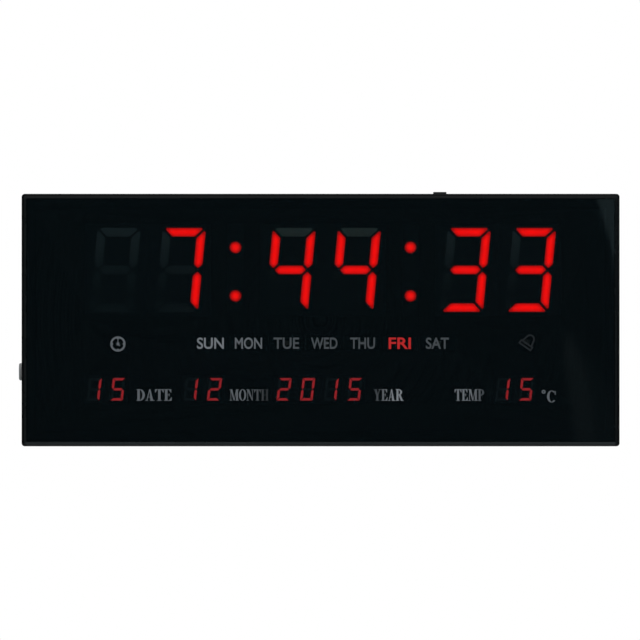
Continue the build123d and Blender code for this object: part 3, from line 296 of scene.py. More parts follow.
@dataclass(frozen=True)
class RimPlastic(MouldedPlastic):
    """Satin plastic of the rim's lip, whose outer edge is polished and darkened with painted shade."""

    half_width: float = 180.0
    half_height: float = 76.0
    # The outer band is glossier and darkened with painted shade
    polish: float = 1.3
    polish_fade: float = 0.2
    edge_shade_colour: str = "#040506"
    polished_roughness: float = 0.09

    def lip(self, tree: Tree) -> Socket:
        """Find how far a point lies inside the polished edge that carries painted shade.

        Args:
            tree: the shader tree.

        Returns:
            The socket of a share: 0 on the polished edge and 1 on the satin lip.
        """
        place = add_node(tree, "ShaderNodeTexCoord").outputs["Object"]
        split = add_node(tree, "ShaderNodeSeparateXYZ", inputs={0: place})
        depths = {}
        for at, (axis, half) in enumerate((("X", self.half_width), ("Z", self.half_height))):
            reach = add_node(tree, "ShaderNodeMath", {"operation": "ABSOLUTE"}, {0: split.outputs[axis]})
            terms = {0: half * MM, 1: reach.outputs[0]}
            depths[at] = add_node(tree, "ShaderNodeMath", {"operation": "SUBTRACT"}, terms).outputs[0]
        least = add_node(tree, "ShaderNodeMath", {"operation": "MINIMUM"}, depths)
        ends = {
            "From Min": (self.polish - self.polish_fade) * MM,
            "From Max": (self.polish + self.polish_fade) * MM,
        }
        share = add_node(tree, "ShaderNodeMapRange", inputs={"Value": least.outputs[0], **ends})
        return share.outputs["Result"]

    def skin(self, tree: Tree) -> dict[str, Any]:
        """Polish the plastic along its outer edge, and darken it there with painted shade.

        Args:
            tree: the shader tree.

        Returns:
            The shader's inputs by name.
        """
        inputs = super().skin(tree)
        lip = self.lip(tree)
        # On the edge, painted shade darkens the colour while the polish lowers the roughness
        for name, kind, polished in (
            ("Base Color", "RGBA", linear(self.edge_shade_colour)),
            ("Roughness", "FLOAT", self.polished_roughness),
        ):
            ends = {"A": polished, "B": inputs[name]}
            mixed = add_node(tree, "ShaderNodeMix", {"data_type": kind}, {"Factor": lip, **ends})
            inputs[name] = mixed.outputs["Result"]
        return inputs


@dataclass(frozen=True)
class SmokedAcrylic(Finish):
    """Cast acrylic with a dark dye: nearly a mirror in front, with displays dimly seen through it."""

    colour: str
    alpha: float
    roughness: float
    smear: float = 34.0
    smear_detail: float = 4.0
    smear_stretch: Place = (1.0, 1.0, 2.2)
    smeared: float = 2.2

    def skin(self, tree: Tree) -> dict[str, Any]:
        """Vary the gloss by faint wiping marks and let part of the light through each face.

        Args:
            tree: the shader tree.

        Returns:
            The shader's inputs by name.
        """
        marks = uneven(tree, self.smear, self.smear_detail, self.smear_stretch)
        sheen = (self.roughness, self.smeared * self.roughness)
        return {
            **follow(tree, marks, ranges={"Roughness": sheen}),
            "Base Color": linear(self.colour),
            "IOR": 1.49,
            "Alpha": self.alpha,
        }


@dataclass(frozen=True)
class DisplayResin(Finish):
    """Milky cast resin that spreads a lamp's light over a bar; it glows where its lamp is on, and may carry
    painted shade on its low bars.
    """

    colour: str
    shade: str
    glow: str = "#000000"
    strength: float = 0.0
    unevenness: Point = (0.92, 1.06)
    cloud: float = 5.0
    cloud_detail: float = 2.0
    # Painted shade over the low bars, by height, and painted light at their foot
    painted_shade_colour: str = ""
    shade_from: float = 15.0
    shade_gone_at: float = 54.0
    foot_light_at: float = 5.0
    painted_foot_light: float = 0.0
    fade: float = 0.0
    wall_room: float = 0.5
    edge_share: float = 0.32

    def skin(self, tree: Tree) -> dict[str, Any]:
        """Cloud the resin, and the glow with it; where it has a painted shade colour, its low bars are
        darkened with it.

        Args:
            tree: the shader tree.

        Returns:
            The shader's inputs by name.
        """
        cloud = uneven(tree, self.cloud, self.cloud_detail)
        inputs = {**follow(tree, cloud, (self.colour, self.shade)), "Roughness": 0.55, "IOR": 1.5}
        if self.painted_shade_colour:
            inputs["Base Color"] = self.with_painted_shade(tree, inputs["Base Color"])
        if self.strength:
            inputs["Emission Color"] = linear(self.glow)
            inputs["Emission Strength"] = self.lamplight(tree, cloud)
        return inputs

    def with_painted_shade(self, tree: Tree, colour: Socket) -> Socket:
        """Darken the low bars with painted shade, with some painted light at their foot.

        Args:
            tree: the shader tree.
            colour: the socket of the resin's colour in the light.

        Returns:
            The socket of the colour with its painted shade.
        """
        # Painted shade: the colour darkens from the top bars down, and painted light lifts it again at the
        # foot
        place = add_node(tree, "ShaderNodeTexCoord").outputs["Object"]
        height = add_node(tree, "ShaderNodeSeparateXYZ", inputs={0: place}).outputs["Z"]
        shares = {}
        for at, (end, most) in enumerate(((self.shade_gone_at, 1.0), (self.foot_light_at, self.painted_foot_light))):
            ends = {"From Min": self.shade_from * MM, "From Max": end * MM, "To Max": most}
            share = add_node(tree, "ShaderNodeMapRange", inputs={"Value": height, **ends})
            shares[at] = share.outputs["Result"]
        light = add_node(tree, "ShaderNodeMath", {"operation": "MAXIMUM"}, shares)
        colours = {"Factor": light.outputs[0], "A": linear(self.painted_shade_colour), "B": colour}
        return add_node(tree, "ShaderNodeMix", {"data_type": "RGBA"}, colours).outputs["Result"]

    def lamplight(self, tree: Tree, cloud: Socket) -> Socket:
        """Build the light of the lamp behind the resin, which may fade towards the bar's side walls.

        Args:
            tree: the shader tree.
            cloud: the socket of the resin's own unevenness.

        Returns:
            The socket of the light's strength.
        """
        least, most = self.unevenness
        strengths = (least * self.strength, most * self.strength)
        light = follow(tree, cloud, ranges={"Light": strengths})["Light"]
        if not self.fade:
            return light
        inward = {"inside": True, "only_local": True}
        room = add_node(tree, "ShaderNodeAmbientOcclusion", inward, {"Distance": self.fade * MM})
        ends = {"From Min": self.wall_room, "To Min": self.edge_share}
        share = add_node(tree, "ShaderNodeMapRange", inputs={"Value": room.outputs["AO"], **ends})
        terms = {0: light, 1: share.outputs["Result"]}
        return add_node(tree, "ShaderNodeMath", {"operation": "MULTIPLY"}, terms).outputs[0]


@dataclass(frozen=True)
class PrintedInk(Finish):
    """Screen-printed ink: flat and slightly uneven where the screen's mesh let it through."""

    colour: str
    shade: str
    glow: str = "#000000"
    strength: float = 0.0
    unevenness: Point = (0.9, 1.05)
    mesh: float = 0.9
    roughness: float = 0.6
    roughened: float = 0.15
    # Painted shade along a word: its colour, the X where it begins and the X where it is full
    shaded_end_colour: str = ""
    unshaded_at: float = 0.0
    shaded_at: float = 0.0

    def skin(self, tree: Tree) -> dict[str, Any]:
        """Mottle the ink by the screen's mesh, drawn coarser so that it shows, and darken it towards one
        end with painted shade.

        Args:
            tree: the shader tree.

        Returns:
            The shader's inputs by name.
        """
        ranges = {"Roughness": (self.roughness, self.roughness + self.roughened)}
        inputs: dict[str, Any] = {"IOR": 1.48}
        if self.strength:
            least, most = self.unevenness
            ranges["Emission Strength"] = (least * self.strength, most * self.strength)
            inputs["Emission Color"] = linear(self.glow)
        inputs.update(follow(tree, uneven(tree, self.mesh), (self.colour, self.shade), ranges))
        if self.shaded_end_colour:
            inputs["Base Color"] = self.with_painted_shade_along(tree, inputs["Base Color"])
        return inputs

    def with_painted_shade_along(self, tree: Tree, colour: Socket) -> Socket:
        """Darken the ink with painted shade along its word.

        Args:
            tree: the shader tree.
            colour: the socket of the ink's colour without the painted shade.

        Returns:
            The socket of the colour that changes along X.
        """
        place = add_node(tree, "ShaderNodeTexCoord").outputs["Object"]
        along = add_node(tree, "ShaderNodeSeparateXYZ", inputs={0: place}).outputs["X"]
        ends = {"From Min": self.unshaded_at * MM, "From Max": self.shaded_at * MM}
        shade_share = add_node(tree, "ShaderNodeMapRange", inputs={"Value": along, **ends})
        colours = {"Factor": shade_share.outputs["Result"], "A": colour, "B": linear(self.shaded_end_colour)}
        return add_node(tree, "ShaderNodeMix", {"data_type": "RGBA"}, colours).outputs["Result"]


@dataclass(frozen=True)
class PlatedMetal(Finish):
    """Plated or bare metal: fine marks along one way and a soft change of gloss."""

    colour: str
    shade: str
    roughness: float
    stretch: Place = (1.0, 1.0, 9.0)
    marks: float = 1.6
    marks_detail: float = 3.0
    roughened: float = 0.14
    relief: Point = (0.35, 0.01)

    def skin(self, tree: Tree) -> dict[str, Any]:
        """Draw marks that run along one axis into colour, gloss and a shallow bump.

        Args:
            tree: the shader tree.

        Returns:
            The shader's inputs by name.
        """
        marks = uneven(tree, self.marks, self.marks_detail, self.stretch)
        sheen = {"Roughness": (self.roughness, self.roughness + self.roughened)}
        return {**follow(tree, marks, (self.colour, self.shade), sheen, self.relief), "Metallic": 1.0}


@dataclass(frozen=True)
class BoardLaminate(Finish):
    """Glass-epoxy board under solder mask: flat tracks a little paler than the ground."""

    colour: str
    track: str
    pitch: float = 2.54
    track_edge: Point = (0.38, 0.44)
    sheen: Point = (0.42, 0.34)
    relief: Point = (0.5, 0.035)

    def skin(self, tree: Tree) -> dict[str, Any]:
        """Draw square-cornered tracks from a cell pattern and raise them slightly.

        Args:
            tree: the shader tree.

        Returns:
            The shader's inputs by name.
        """
        place = add_node(tree, "ShaderNodeTexCoord").outputs["Object"]
        square = {"distance": "CHEBYCHEV", "feature": "F1"}
        sizes = {"Vector": place, "Scale": per_mm(self.pitch)}
        cells = add_node(tree, "ShaderNodeTexVoronoi", square, sizes)
        ends = {"From Min": self.track_edge[0], "From Max": self.track_edge[1]}
        tracks = add_node(tree, "ShaderNodeMapRange", inputs={"Value": cells.outputs["Distance"], **ends})
        colours = (self.colour, self.track)
        followed = follow(tree, tracks.outputs["Result"], colours, {"Roughness": self.sheen}, self.relief)
        return {**followed, "IOR": 1.55}


@dataclass(frozen=True)
class PorousSheet(Finish):
    """Pressed paper, foam or cloth: a matt open surface with pores or fibres."""

    colour: str
    shade: str
    pore: float
    depth: float
    pit_strength: float = 0.8

    def skin(self, tree: Tree) -> dict[str, Any]:
        """Pit the sheet with cells of the pore's size, darker at the bottom of each pit with painted shade.

        Args:
            tree: the shader tree.

        Returns:
            The shader's inputs by name.
        """
        place = add_node(tree, "ShaderNodeTexCoord").outputs["Object"]
        pores = add_node(tree, "ShaderNodeTexVoronoi", inputs={"Vector": place, "Scale": per_mm(self.pore)})
        pits = (self.pit_strength, self.depth)
        # Painted shade: the colour darkens towards the bottom of each pit
        followed = follow(tree, pores.outputs["Distance"], (self.shade, self.colour), relief=pits)
        return {**followed, "Roughness": 0.88}


# Black ABS off a satin mould: the lip turns grey where it faces the light, inside a polished line darkened
# with painted shade.
# Its grain is drawn coarser so that it shows.
FRAME_ABS = RimPlastic("black_abs_satin", "#090d0e", "#0c1214", 0.28, grain=1.4, grain_depth=0.004)
# Black ABS off a polished mould: a round and sides with long soft reflections, in a colour darkened with
# painted shade
FRAME_POLISHED_SHADED = MouldedPlastic(
    "black_abs_polished_with_shade",
    "#040506",
    "#07090a",
    0.09,
    grain=2.6,
    grain_depth=0.006,
    cloud=30.0,
    sheen_shift=0.03,
)
# Black ABS off a sparked mould, matt beside the rim; the grain is drawn coarser so that it shows, lighter
# on its peaks and darker in its valleys with painted shade
COVER_ABS = MouldedPlastic(
    "black_abs_textured", "#101213", "#25292a", 0.5, grain=1.8, grain_depth=0.35, grain_shade=0.5
)
# Smoked cast acrylic: close to black, sharp reflections
SMOKED_ACRYLIC = SmokedAcrylic("smoked_acrylic", "#070f12", 0.634, 0.008)
# Black polyester film under the panel: flat and dead black
MASK_INK = PrintedInk("black_mask_film", "#050607", "#08090a", roughness=0.7)
# Acrylic foam tape: black and full of tiny pores
FOAM_TAPE = PorousSheet("black_foam_tape", "#0a0b0c", "#050606", 0.4, 0.05)
# Black polycarbonate display housings: smooth, semi-matt
MODULE_PLASTIC = MouldedPlastic(
    "black_display_housing", "#07090a", "#0a0d0e", 0.5, grain=0.5, grain_depth=0.01
)
# Milky epoxy bars with the lamp off: grey with a cold tint, darkened low down with painted shade and lifted
# at the foot with painted light
RESIN_DARK = DisplayResin("milky_epoxy_unlit", "#7e9da3", "#86a6ac", painted_shade_colour="#181c1d", painted_foot_light=0.35)
# The same bars beside lit ones: a paler copy with painted stray light on the top bar and painted shade on
# the low bars
RESIN_PAINTED_STRAY_LIGHT = DisplayResin("milky_epoxy_painted_stray_light", "#b4d6ce", "#bcdfd7", painted_shade_colour="#0c0e0f", shade_from=24.0)
# The same bars with the lamp on: saturated red, brightest along the middle
RESIN_LIT = DisplayResin("milky_epoxy_lit_red", "#401008", "#501810", "#ff0400", 6.4, fade=2.4)
# The round dots share one lamp each and run a little dimmer
DOT_LIT = DisplayResin(
    "milky_epoxy_lit_dot", "#401008", "#501810", "#ff0a04", 6.0, fade=2.4, edge_share=0.25
)
# The small bars are thinner, dimmer and pinker
RESIN_LIT_SMALL = DisplayResin("milky_epoxy_lit_small", "#401008", "#501810", "#ff4048", 1.7, cloud=3.0)
# Clear lamp lens on a white body
LAMP_RESIN = DisplayResin("lamp_lens_epoxy", "#c9c4b4", "#d8d5ca", cloud=2.0)
# Black epoxy moulding compound of the chips and the sensor: dry, faintly speckled
CHIP_EPOXY = MouldedPlastic("chip_moulding_epoxy", "#141516", "#1d1e1f", 0.66, grain=0.25, grain_depth=0.01)
# Drawn metal can of the quartz crystal: bright with fine drawing marks
CRYSTAL_CAN = PlatedMetal("drawn_steel_can", "#b9b8b2", "#a3a29c", 0.24)
# Printed sleeve on the capacitors' aluminium cans
CAPACITOR_SLEEVE = MouldedPlastic(
    "capacitor_sleeve", "#121a33", "#182244", 0.32, grain=0.8, grain_depth=0.004
)
# Board of glass epoxy under black solder mask
BOARD_LAMINATE = BoardLaminate("black_solder_mask_board", "#0b0f0d", "#121815")
# Natural nylon of the lead connectors: ivory
CONNECTOR_NYLON = MouldedPlastic("ivory_nylon", "#cfc8b4", "#d9d3c2", 0.45)
# Black polyamide switch bodies and grey plungers
SWITCH_POLYAMIDE = MouldedPlastic("black_polyamide", "#131516", "#191b1c", 0.5)
PLUNGER_POLYAMIDE = MouldedPlastic("grey_polyamide", "#5e6264", "#696d6f", 0.45)
# Black ABS of the top key, polished by fingers
BUTTON_ABS = MouldedPlastic("black_abs_key", "#171a1b", "#1f2324", 0.3, grain=0.3, grain_depth=0.004)
# Dark grey silicone of the keys at the back: soft, with a dull sheen
KEY_SILICONE = MouldedPlastic("grey_silicone_keys", "#2b2f31", "#363b3d", 0.42, grain=0.8, grain_depth=0.02)
# Grey pressed paper cone
SPEAKER_PAPER = PorousSheet("speaker_paper", "#2b2a28", "#1c1b1a", 0.6, 0.06)
# Pressed basket in zinc plate
SPEAKER_STEEL = PlatedMetal("zinc_plated_basket", "#a7abad", "#8f9496", 0.32, (3.0, 1.0, 3.0))
# Sintered ferrite magnet: dull dark grey
SPEAKER_FERRITE = MouldedPlastic("sintered_ferrite", "#222325", "#2c2d2f", 0.6, grain=0.4, grain_depth=0.03)
# Blackened steel screws: dark metal with bright worn marks
SCREW_STEEL = PlatedMetal("blackened_screw_steel", "#4d5052", "#6b6f72", 0.34, (4.0, 1.0, 4.0), 0.8)
# Stainless coin cell: brushed one way
CELL_STEEL = PlatedMetal("brushed_cell_steel", "#c3c5c6", "#9da0a2", 0.22, (0.12, 1.0, 1.6), 2.4)
# Nickel-plated brass of contacts, tags and pins
CONTACT_NICKEL = PlatedMetal("nickel_plate", "#c8c2b2", "#b4aea0", 0.2, (2.0, 2.0, 2.0))
# Grey PBT of the power socket: satin and hard
SOCKET_PBT = MouldedPlastic("grey_pbt", "#7f8283", "#8b8e8f", 0.42, grain=0.3, grain_depth=0.006)
# Soft PVC of the leads
LEAD_PVC = MouldedPlastic("red_black_lead_pvc", "#5a1512", "#3c0f0d", 0.42, grain=0.5, grain_depth=0.004)
# Tin-silver solder: bright with a frosted skin
SOLDER = PlatedMetal("tin_solder", "#bfc2c4", "#a9acae", 0.3, (1.0, 1.0, 1.0), 1.2)
# White pad-printed ink of the signs on the back
PAD_INK = PrintedInk("pad_printed_white", "#a4a7a8", "#b4b7b8")


class LegendInk(Enum):
    """Screen inks of the front panel, from the brightest on: copies of one ink made lighter or darker with
    painted light and shade, the lit red one, and those darkened with painted shade towards one end of a
    word.
    """

    PALE = PrintedInk("screen_ink_pale", "#62676c", "#6e7378")
    MIDDLE = PrintedInk("screen_ink_middle", "#4e5358", "#5c6166")
    DIM = PrintedInk("screen_ink_dim", "#383d41", "#444a4e")
    FAINT = PrintedInk("screen_ink_faint", "#14191d", "#1b2024")
    LIT = PrintedInk("screen_ink_lit_red", "#70100c", "#7c1410", "#ff1e26", 0.25)
    # Inks darkened with painted shade towards one end of their word
    SHADED_MONTH = PrintedInk(
        "screen_ink_month", "#50555a", "#5a5f64", shaded_end_colour="#24282b", unshaded_at=-46.0, shaded_at=-33.0
    )
    SHADED_YEAR = PrintedInk(
        "screen_ink_year", "#6d7277", "#767b80", shaded_end_colour="#30353a", unshaded_at=44.0, shaded_at=33.0
    )
    SHADED_TEMP = PrintedInk(
        "screen_ink_temp", "#5a5f64", "#666b70", shaded_end_colour="#383d42", unshaded_at=90.0, shaded_at=98.0
    )


# Flat shapes
@dataclass(frozen=True)
class Bar:
    """Upright box of a letter, from its lower left to its upper right corner."""

    left: float
    low: float
    right: float
    high: float

    def outline(self) -> Outline:
        """Return the box's corners, anticlockwise."""
        left, low, right, high = self.left, self.low, self.right, self.high
        return [(left, low), (right, low), (right, high), (left, high)]


@dataclass(frozen=True)
class Shape:
    """Straight-sided part of a letter or sign, anticlockwise."""

    points: tuple[Point, ...]

    def outline(self) -> Outline:
        """Return the corners."""
        return list(self.points)


@dataclass(frozen=True)
class Bow:
    """Curved part of a letter: the band between two ellipses over a range of angles."""

    centre: Point
    reach: Point
    band: Point
    start: float
    end: float
    step: ClassVar[float] = 9.0
    least_steps: ClassVar[int] = 8

    def outline(self) -> Outline:
        """Follow the outer ellipse and come back along the inner one.

        Returns:
            The band's corners, anticlockwise.
        """
        span = self.end - self.start
        steps = max(self.least_steps, round(span / self.step))
        angles = [math.radians(self.start + span * i / steps) for i in range(steps + 1)]
        inner = (self.reach[0] - self.band[0], self.reach[1] - self.band[1])
        x, z = self.centre
        outside = [(x + self.reach[0] * math.cos(a), z + self.reach[1] * math.sin(a)) for a in angles]
        inside = [(x + inner[0] * math.cos(a), z + inner[1] * math.sin(a)) for a in reversed(angles)]
        return outside + inside


Stroke = Bar | Shape | Bow


def ring(centre: Point, reach: Point, band: Point) -> tuple[Bow, Bow]:
    """Return a whole ring as two half bows, so that neither outline meets itself."""
    return Bow(centre, reach, band, 0, 180), Bow(centre, reach, band, 180, 360)


@dataclass
class FlatShape:
    """A filled flat shape as triangles, anticlockwise as its reader sees them."""

    points: list[Point]
    triangles: list[tuple[int, int, int]]
    merge_within: ClassVar[float] = 1e-5
    text_steps: ClassVar[int] = 6

    @classmethod
    def of_strokes(cls, strokes: Sequence[Stroke]) -> "FlatShape":
        """Join overlapping strokes into one shape.

        Args:
            strokes: bars, straight-sided shapes and bows.

        Returns:
            Their union.
        """
        corners: list[Vector] = []
        faces: list[list[int]] = []
        for stroke in strokes:
            outline = stroke.outline()
            faces.append(list(range(len(corners), len(corners) + len(outline))))
            corners += [Vector(point) for point in outline]
        verts, _, found, _, _, owners = delaunay_2d_cdt(corners, [], faces, 0, cls.merge_within)
        kept = [face for face, owner in zip(found, owners) if owner]
        return cls([(v.x, v.y) for v in verts], [tuple(face) for face in kept]).wound()

    @classmethod
    def of_text(cls, text: str, weight: float) -> "FlatShape":
        """Fill a word set in the built-in sans face.

        Args:
            text: the word.
            weight: how far the outlines are drawn out, as a share of the letter size.

        Returns:
            The word's shape.
        """
        curve = bpy.data.curves.new("word", "FONT")
        curve.body = text
        curve.offset = weight
        curve.resolution_u = cls.text_steps
        holder = placed("word", curve)
        mesh = evaluated_mesh(holder)
        bpy.data.objects.remove(holder)
        bpy.data.curves.remove(curve)
        mesh.calc_loop_triangles()
        merged: dict[tuple[int, int], int] = {}
        points: list[Point] = []
        index: list[int] = []
        for vertex in mesh.vertices:
            key = (round(vertex.co.x / cls.merge_within), round(vertex.co.y / cls.merge_within))
            if key not in merged:
                merged[key] = len(points)
                points.append((vertex.co.x, vertex.co.y))
            index.append(merged[key])
        triangles = [tuple(index[v] for v in triangle.vertices) for triangle in mesh.loop_triangles]
        bpy.data.meshes.remove(mesh)
        return cls(points, [t for t in triangles if len(set(t)) == 3]).wound()

    def wound(self) -> "FlatShape":
        """Turn every triangle anticlockwise.

        Returns:
            The shape with its triangles turned.
        """
        turned = []
        for a, b, c in self.triangles:
            (ax, az), (bx, bz), (cx, cz) = self.points[a], self.points[b], self.points[c]
            area = (bx - ax) * (cz - az) - (cx - ax) * (bz - az)
            turned.append((a, b, c) if area > 0 else (a, c, b))
        return FlatShape(self.points, turned)

    def box(self) -> tuple[float, float, float, float]:
        """Find how far the triangles reach.

        Returns:
            The left, low, right and high edges.
        """
        used = [self.points[i] for triangle in self.triangles for i in triangle]
        across = [p[0] for p in used]
        up = [p[1] for p in used]
        return min(across), min(up), max(across), max(up)

    def fitted(self, centre: Point, width: float, height: float) -> "FlatShape":
        """Scale and move the shape into a box.

        Args:
            centre: middle of the box.
            width: its width.
            height: its height.

        Returns:
            The shape that fills the box.
        """
        left, low, right, high = self.box()
        wide, tall = width / (right - left), height / (high - low)
        x, z = (left + right) / 2, (low + high) / 2
        points = [(centre[0] + (p[0] - x) * wide, centre[1] + (p[1] - z) * tall) for p in self.points]
        return FlatShape(points, self.triangles)

    def turned(self, degrees: float) -> "FlatShape":
        """Return the shape turned anticlockwise about its own zero point."""
        c, s = math.cos(math.radians(degrees)), math.sin(math.radians(degrees))
        return FlatShape([(x * c - z * s, x * s + z * c) for x, z in self.points], self.triangles)

    def moved(self, way: Point) -> "FlatShape":
        """Return the shape moved by an offset."""
        return FlatShape([(x + way[0], z + way[1]) for x, z in self.points], self.triangles)

    def joined(self, other: "FlatShape") -> "FlatShape":
        """Put this shape and a separate one together.

        Args:
            other: the separate shape.

        Returns:
            Both as a single shape.
        """
        start = len(self.points)
        more = [tuple(i + start for i in triangle) for triangle in other.triangles]
        return FlatShape(self.points + other.points, self.triangles + more)

    def solid(self, name: str, base: float, height: float, facing_wall: bool = False) -> bpy.types.Object:
        """Raise the shape off a flat face.

        Args:
            name: the piece's name.
            base: the Y of the face it lies on.
            height: how far it stands off the face; it also sinks in by a fifth of that.
            facing_wall: whether it is read from the wall's side.

        Returns:
            A closed mesh object in the clock's frame.
        """
        side = 1 if facing_wall else -1
        near, far = base - side * height / 5, base + side * height
        corners = [(-side * x, y, z) for y in (far, near) for x, z in self.points]
        count = len(self.points)
        edges = {(t[i], t[(i + 1) % 3]) for t in self.triangles for i in range(3)}
        rim = sorted(edge for edge in edges if (edge[1], edge[0]) not in edges)
        faces = [tuple(t) for t in self.triangles]
        faces += [(a + count, c + count, b + count) for a, b, c in self.triangles]
        faces += [(a, a + count, b + count, b) for a, b in rim]
        return meshed(name, corners, faces)


# Bold narrow serif capitals, drawn on a cap height of 1: each has its width and its strokes
STEM = Bar(0.08, 0, 0.28, 1)
STEM_SERIFS = (Bar(0, 0, 0.36, 0.05), Bar(0, 0.95, 0.36, 1))
SERIF_CAPITALS: dict[str, tuple[float, tuple[Stroke, ...]]] = {
    "A": (
        0.78,
        (
            Shape(((0.42, 0.04), (0.64, 0.04), (0.42, 1.0), (0.33, 1.0))),
            Shape(((0.1, 0.04), (0.17, 0.04), (0.4, 1.0), (0.33, 1.0))),
            Bar(0.18, 0.29, 0.5, 0.35),
            Bar(0, 0, 0.25, 0.05),
            Bar(0.38, 0, 0.76, 0.05),
        ),
    ),
    "C": (
        0.74,
        (
            Bow((0.38, 0.5), (0.38, 0.52), (0.2, 0.06), 48, 318),
            Shape(((0.64, 0.64), (0.69, 0.64), (0.69, 1.0), (0.65, 1.0), (0.6, 0.88))),
        ),
    ),
    "D": (0.7, (STEM, *STEM_SERIFS, Bow((0.26, 0.5), (0.42, 0.5), (0.2, 0.06), -90, 90))),
    "E": (
        0.66,
        (
            STEM,
            Bar(0, 0.94, 0.58, 1),
            Bar(0, 0, 0.6, 0.06),
            Bar(0.28, 0.48, 0.42, 0.54),
            Shape(((0.54, 0.7), (0.58, 0.7), (0.58, 1.0), (0.4, 0.95))),
            Shape(((0.42, 0.04), (0.6, 0), (0.63, 0.32), (0.59, 0.32))),
            Bar(0.4, 0.38, 0.44, 0.64),
        ),
    ),
    "H": (
        0.82,
        (
            STEM,
            *STEM_SERIFS,
            Bar(0.52, 0, 0.72, 1),
            Bar(0.44, 0, 0.8, 0.05),
            Bar(0.44, 0.95, 0.8, 1),
            Bar(0.2, 0.47, 0.6, 0.53),
        ),
    ),
    "M": (
        0.98,
        (
            Bar(0.11, 0, 0.17, 1),
            Bar(0.68, 0, 0.88, 1),
            Shape(((0.44, 0.0), (0.52, 0.0), (0.3, 1.0), (0.08, 1.0))),
            Shape(((0.45, 0.0), (0.51, 0.0), (0.76, 1.0), (0.69, 1.0))),
            Bar(0, 0, 0.28, 0.05),
            Bar(0.6, 0, 0.96, 0.05),
            Bar(0, 0.95, 0.24, 1),
            Bar(0.72, 0.95, 0.96, 1),
        ),
    ),
    "N": (
        0.8,
        (
            Bar(0.1, 0, 0.16, 1),
            Bar(0.6, 0, 0.66, 1),
            Shape(((0.56, 0.0), (0.66, 0.0), (0.3, 1.0), (0.06, 1.0))),
            Bar(0, 0, 0.26, 0.05),
            Bar(0, 0.95, 0.2, 1),
            Bar(0.5, 0.95, 0.76, 1),
        ),
    ),
    "O": (0.78, ring((0.38, 0.5), (0.38, 0.52), (0.2, 0.06))),
    "P": (0.66, (STEM, *STEM_SERIFS, Bow((0.26, 0.72), (0.38, 0.28), (0.2, 0.06), -90, 90))),
    "R": (
        0.82,
        (
            STEM,
            *STEM_SERIFS,
            Bow((0.26, 0.74), (0.38, 0.26), (0.2, 0.06), -90, 90),
            Shape(((0.5, 0.04), (0.72, 0.04), (0.48, 0.53), (0.28, 0.53))),
            Bar(0.5, 0, 0.8, 0.05),
        ),
    ),
    "T": (
        0.72,
        (
            Bar(0.25, 0, 0.45, 1),
            Bar(0, 0.94, 0.7, 1),
            Shape(((0, 0.7), (0.04, 0.7), (0.18, 0.95), (0, 1.0))),
            Shape(((0.66, 0.7), (0.7, 0.7), (0.7, 1.0), (0.52, 0.95))),
            Bar(0.15, 0, 0.55, 0.05),
        ),
    ),
    "Y": (
        0.78,
        (
            Shape(((0.28, 0.44), (0.48, 0.44), (0.3, 1.0), (0.07, 1.0))),
            Shape(((0.4, 0.44), (0.47, 0.44), (0.66, 1.0), (0.59, 1.0))),
            Bar(0.28, 0, 0.48, 0.5),
            Bar(0, 0.95, 0.36, 1),
            Bar(0.5, 0.95, 0.76, 1),
            Bar(0.18, 0, 0.58, 0.05),
        ),
    ),
}


def serif_word(word: str) -> FlatShape:
    """Set a word in the serif capitals.

    Args:
        word: letters that the alphabet holds.

    Returns:
        The word's shape on a cap height of 1.
    """
    shape = FlatShape([], [])
    start = 0.0
    for letter in word:
        width, strokes = SERIF_CAPITALS[letter]
        shape = shape.joined(FlatShape.of_strokes(strokes).moved((start, 0)))
        start += width
    return shape


# Trees of Geometry Nodes
def new_tree(name: str, sizes: dict[str, str]) -> tuple[Tree, bpy.types.Node]:
    """Start a geometry tree with named inputs.

    Args:
        name: the tree's name.
        sizes: socket type of each input by its name.

    Returns:
        The tree and its input node.
    """
    tree = bpy.data.node_groups.new(name, "GeometryNodeTree")
    tree.interface.new_socket("Geometry", in_out="OUTPUT", socket_type="NodeSocketGeometry")
    for label, kind in sizes.items():
        tree.interface.new_socket(label, in_out="INPUT", socket_type=kind)
    tree.interface.new_socket("Material", in_out="INPUT", socket_type="NodeSocketMaterial")
    return tree, tree.nodes.new("NodeGroupInput")


def close_tree(tree: Tree, source: bpy.types.Node, geometry: Socket) -> None:
    """End a geometry tree by realizing its instances and setting its material.

    Args:
        tree: the geometry tree.
        source: its input node, which holds the material.
        geometry: the socket of what the tree has made.
    """
    real = add_node(tree, "GeometryNodeRealizeInstances", inputs={"Geometry": geometry})
    inputs = {"Geometry": real.outputs["Geometry"], "Material": source.outputs["Material"]}
    dressed = add_node(tree, "GeometryNodeSetMaterial", inputs=inputs)
    add_node(tree, "NodeGroupOutput", inputs={"Geometry": dressed.outputs["Geometry"]})


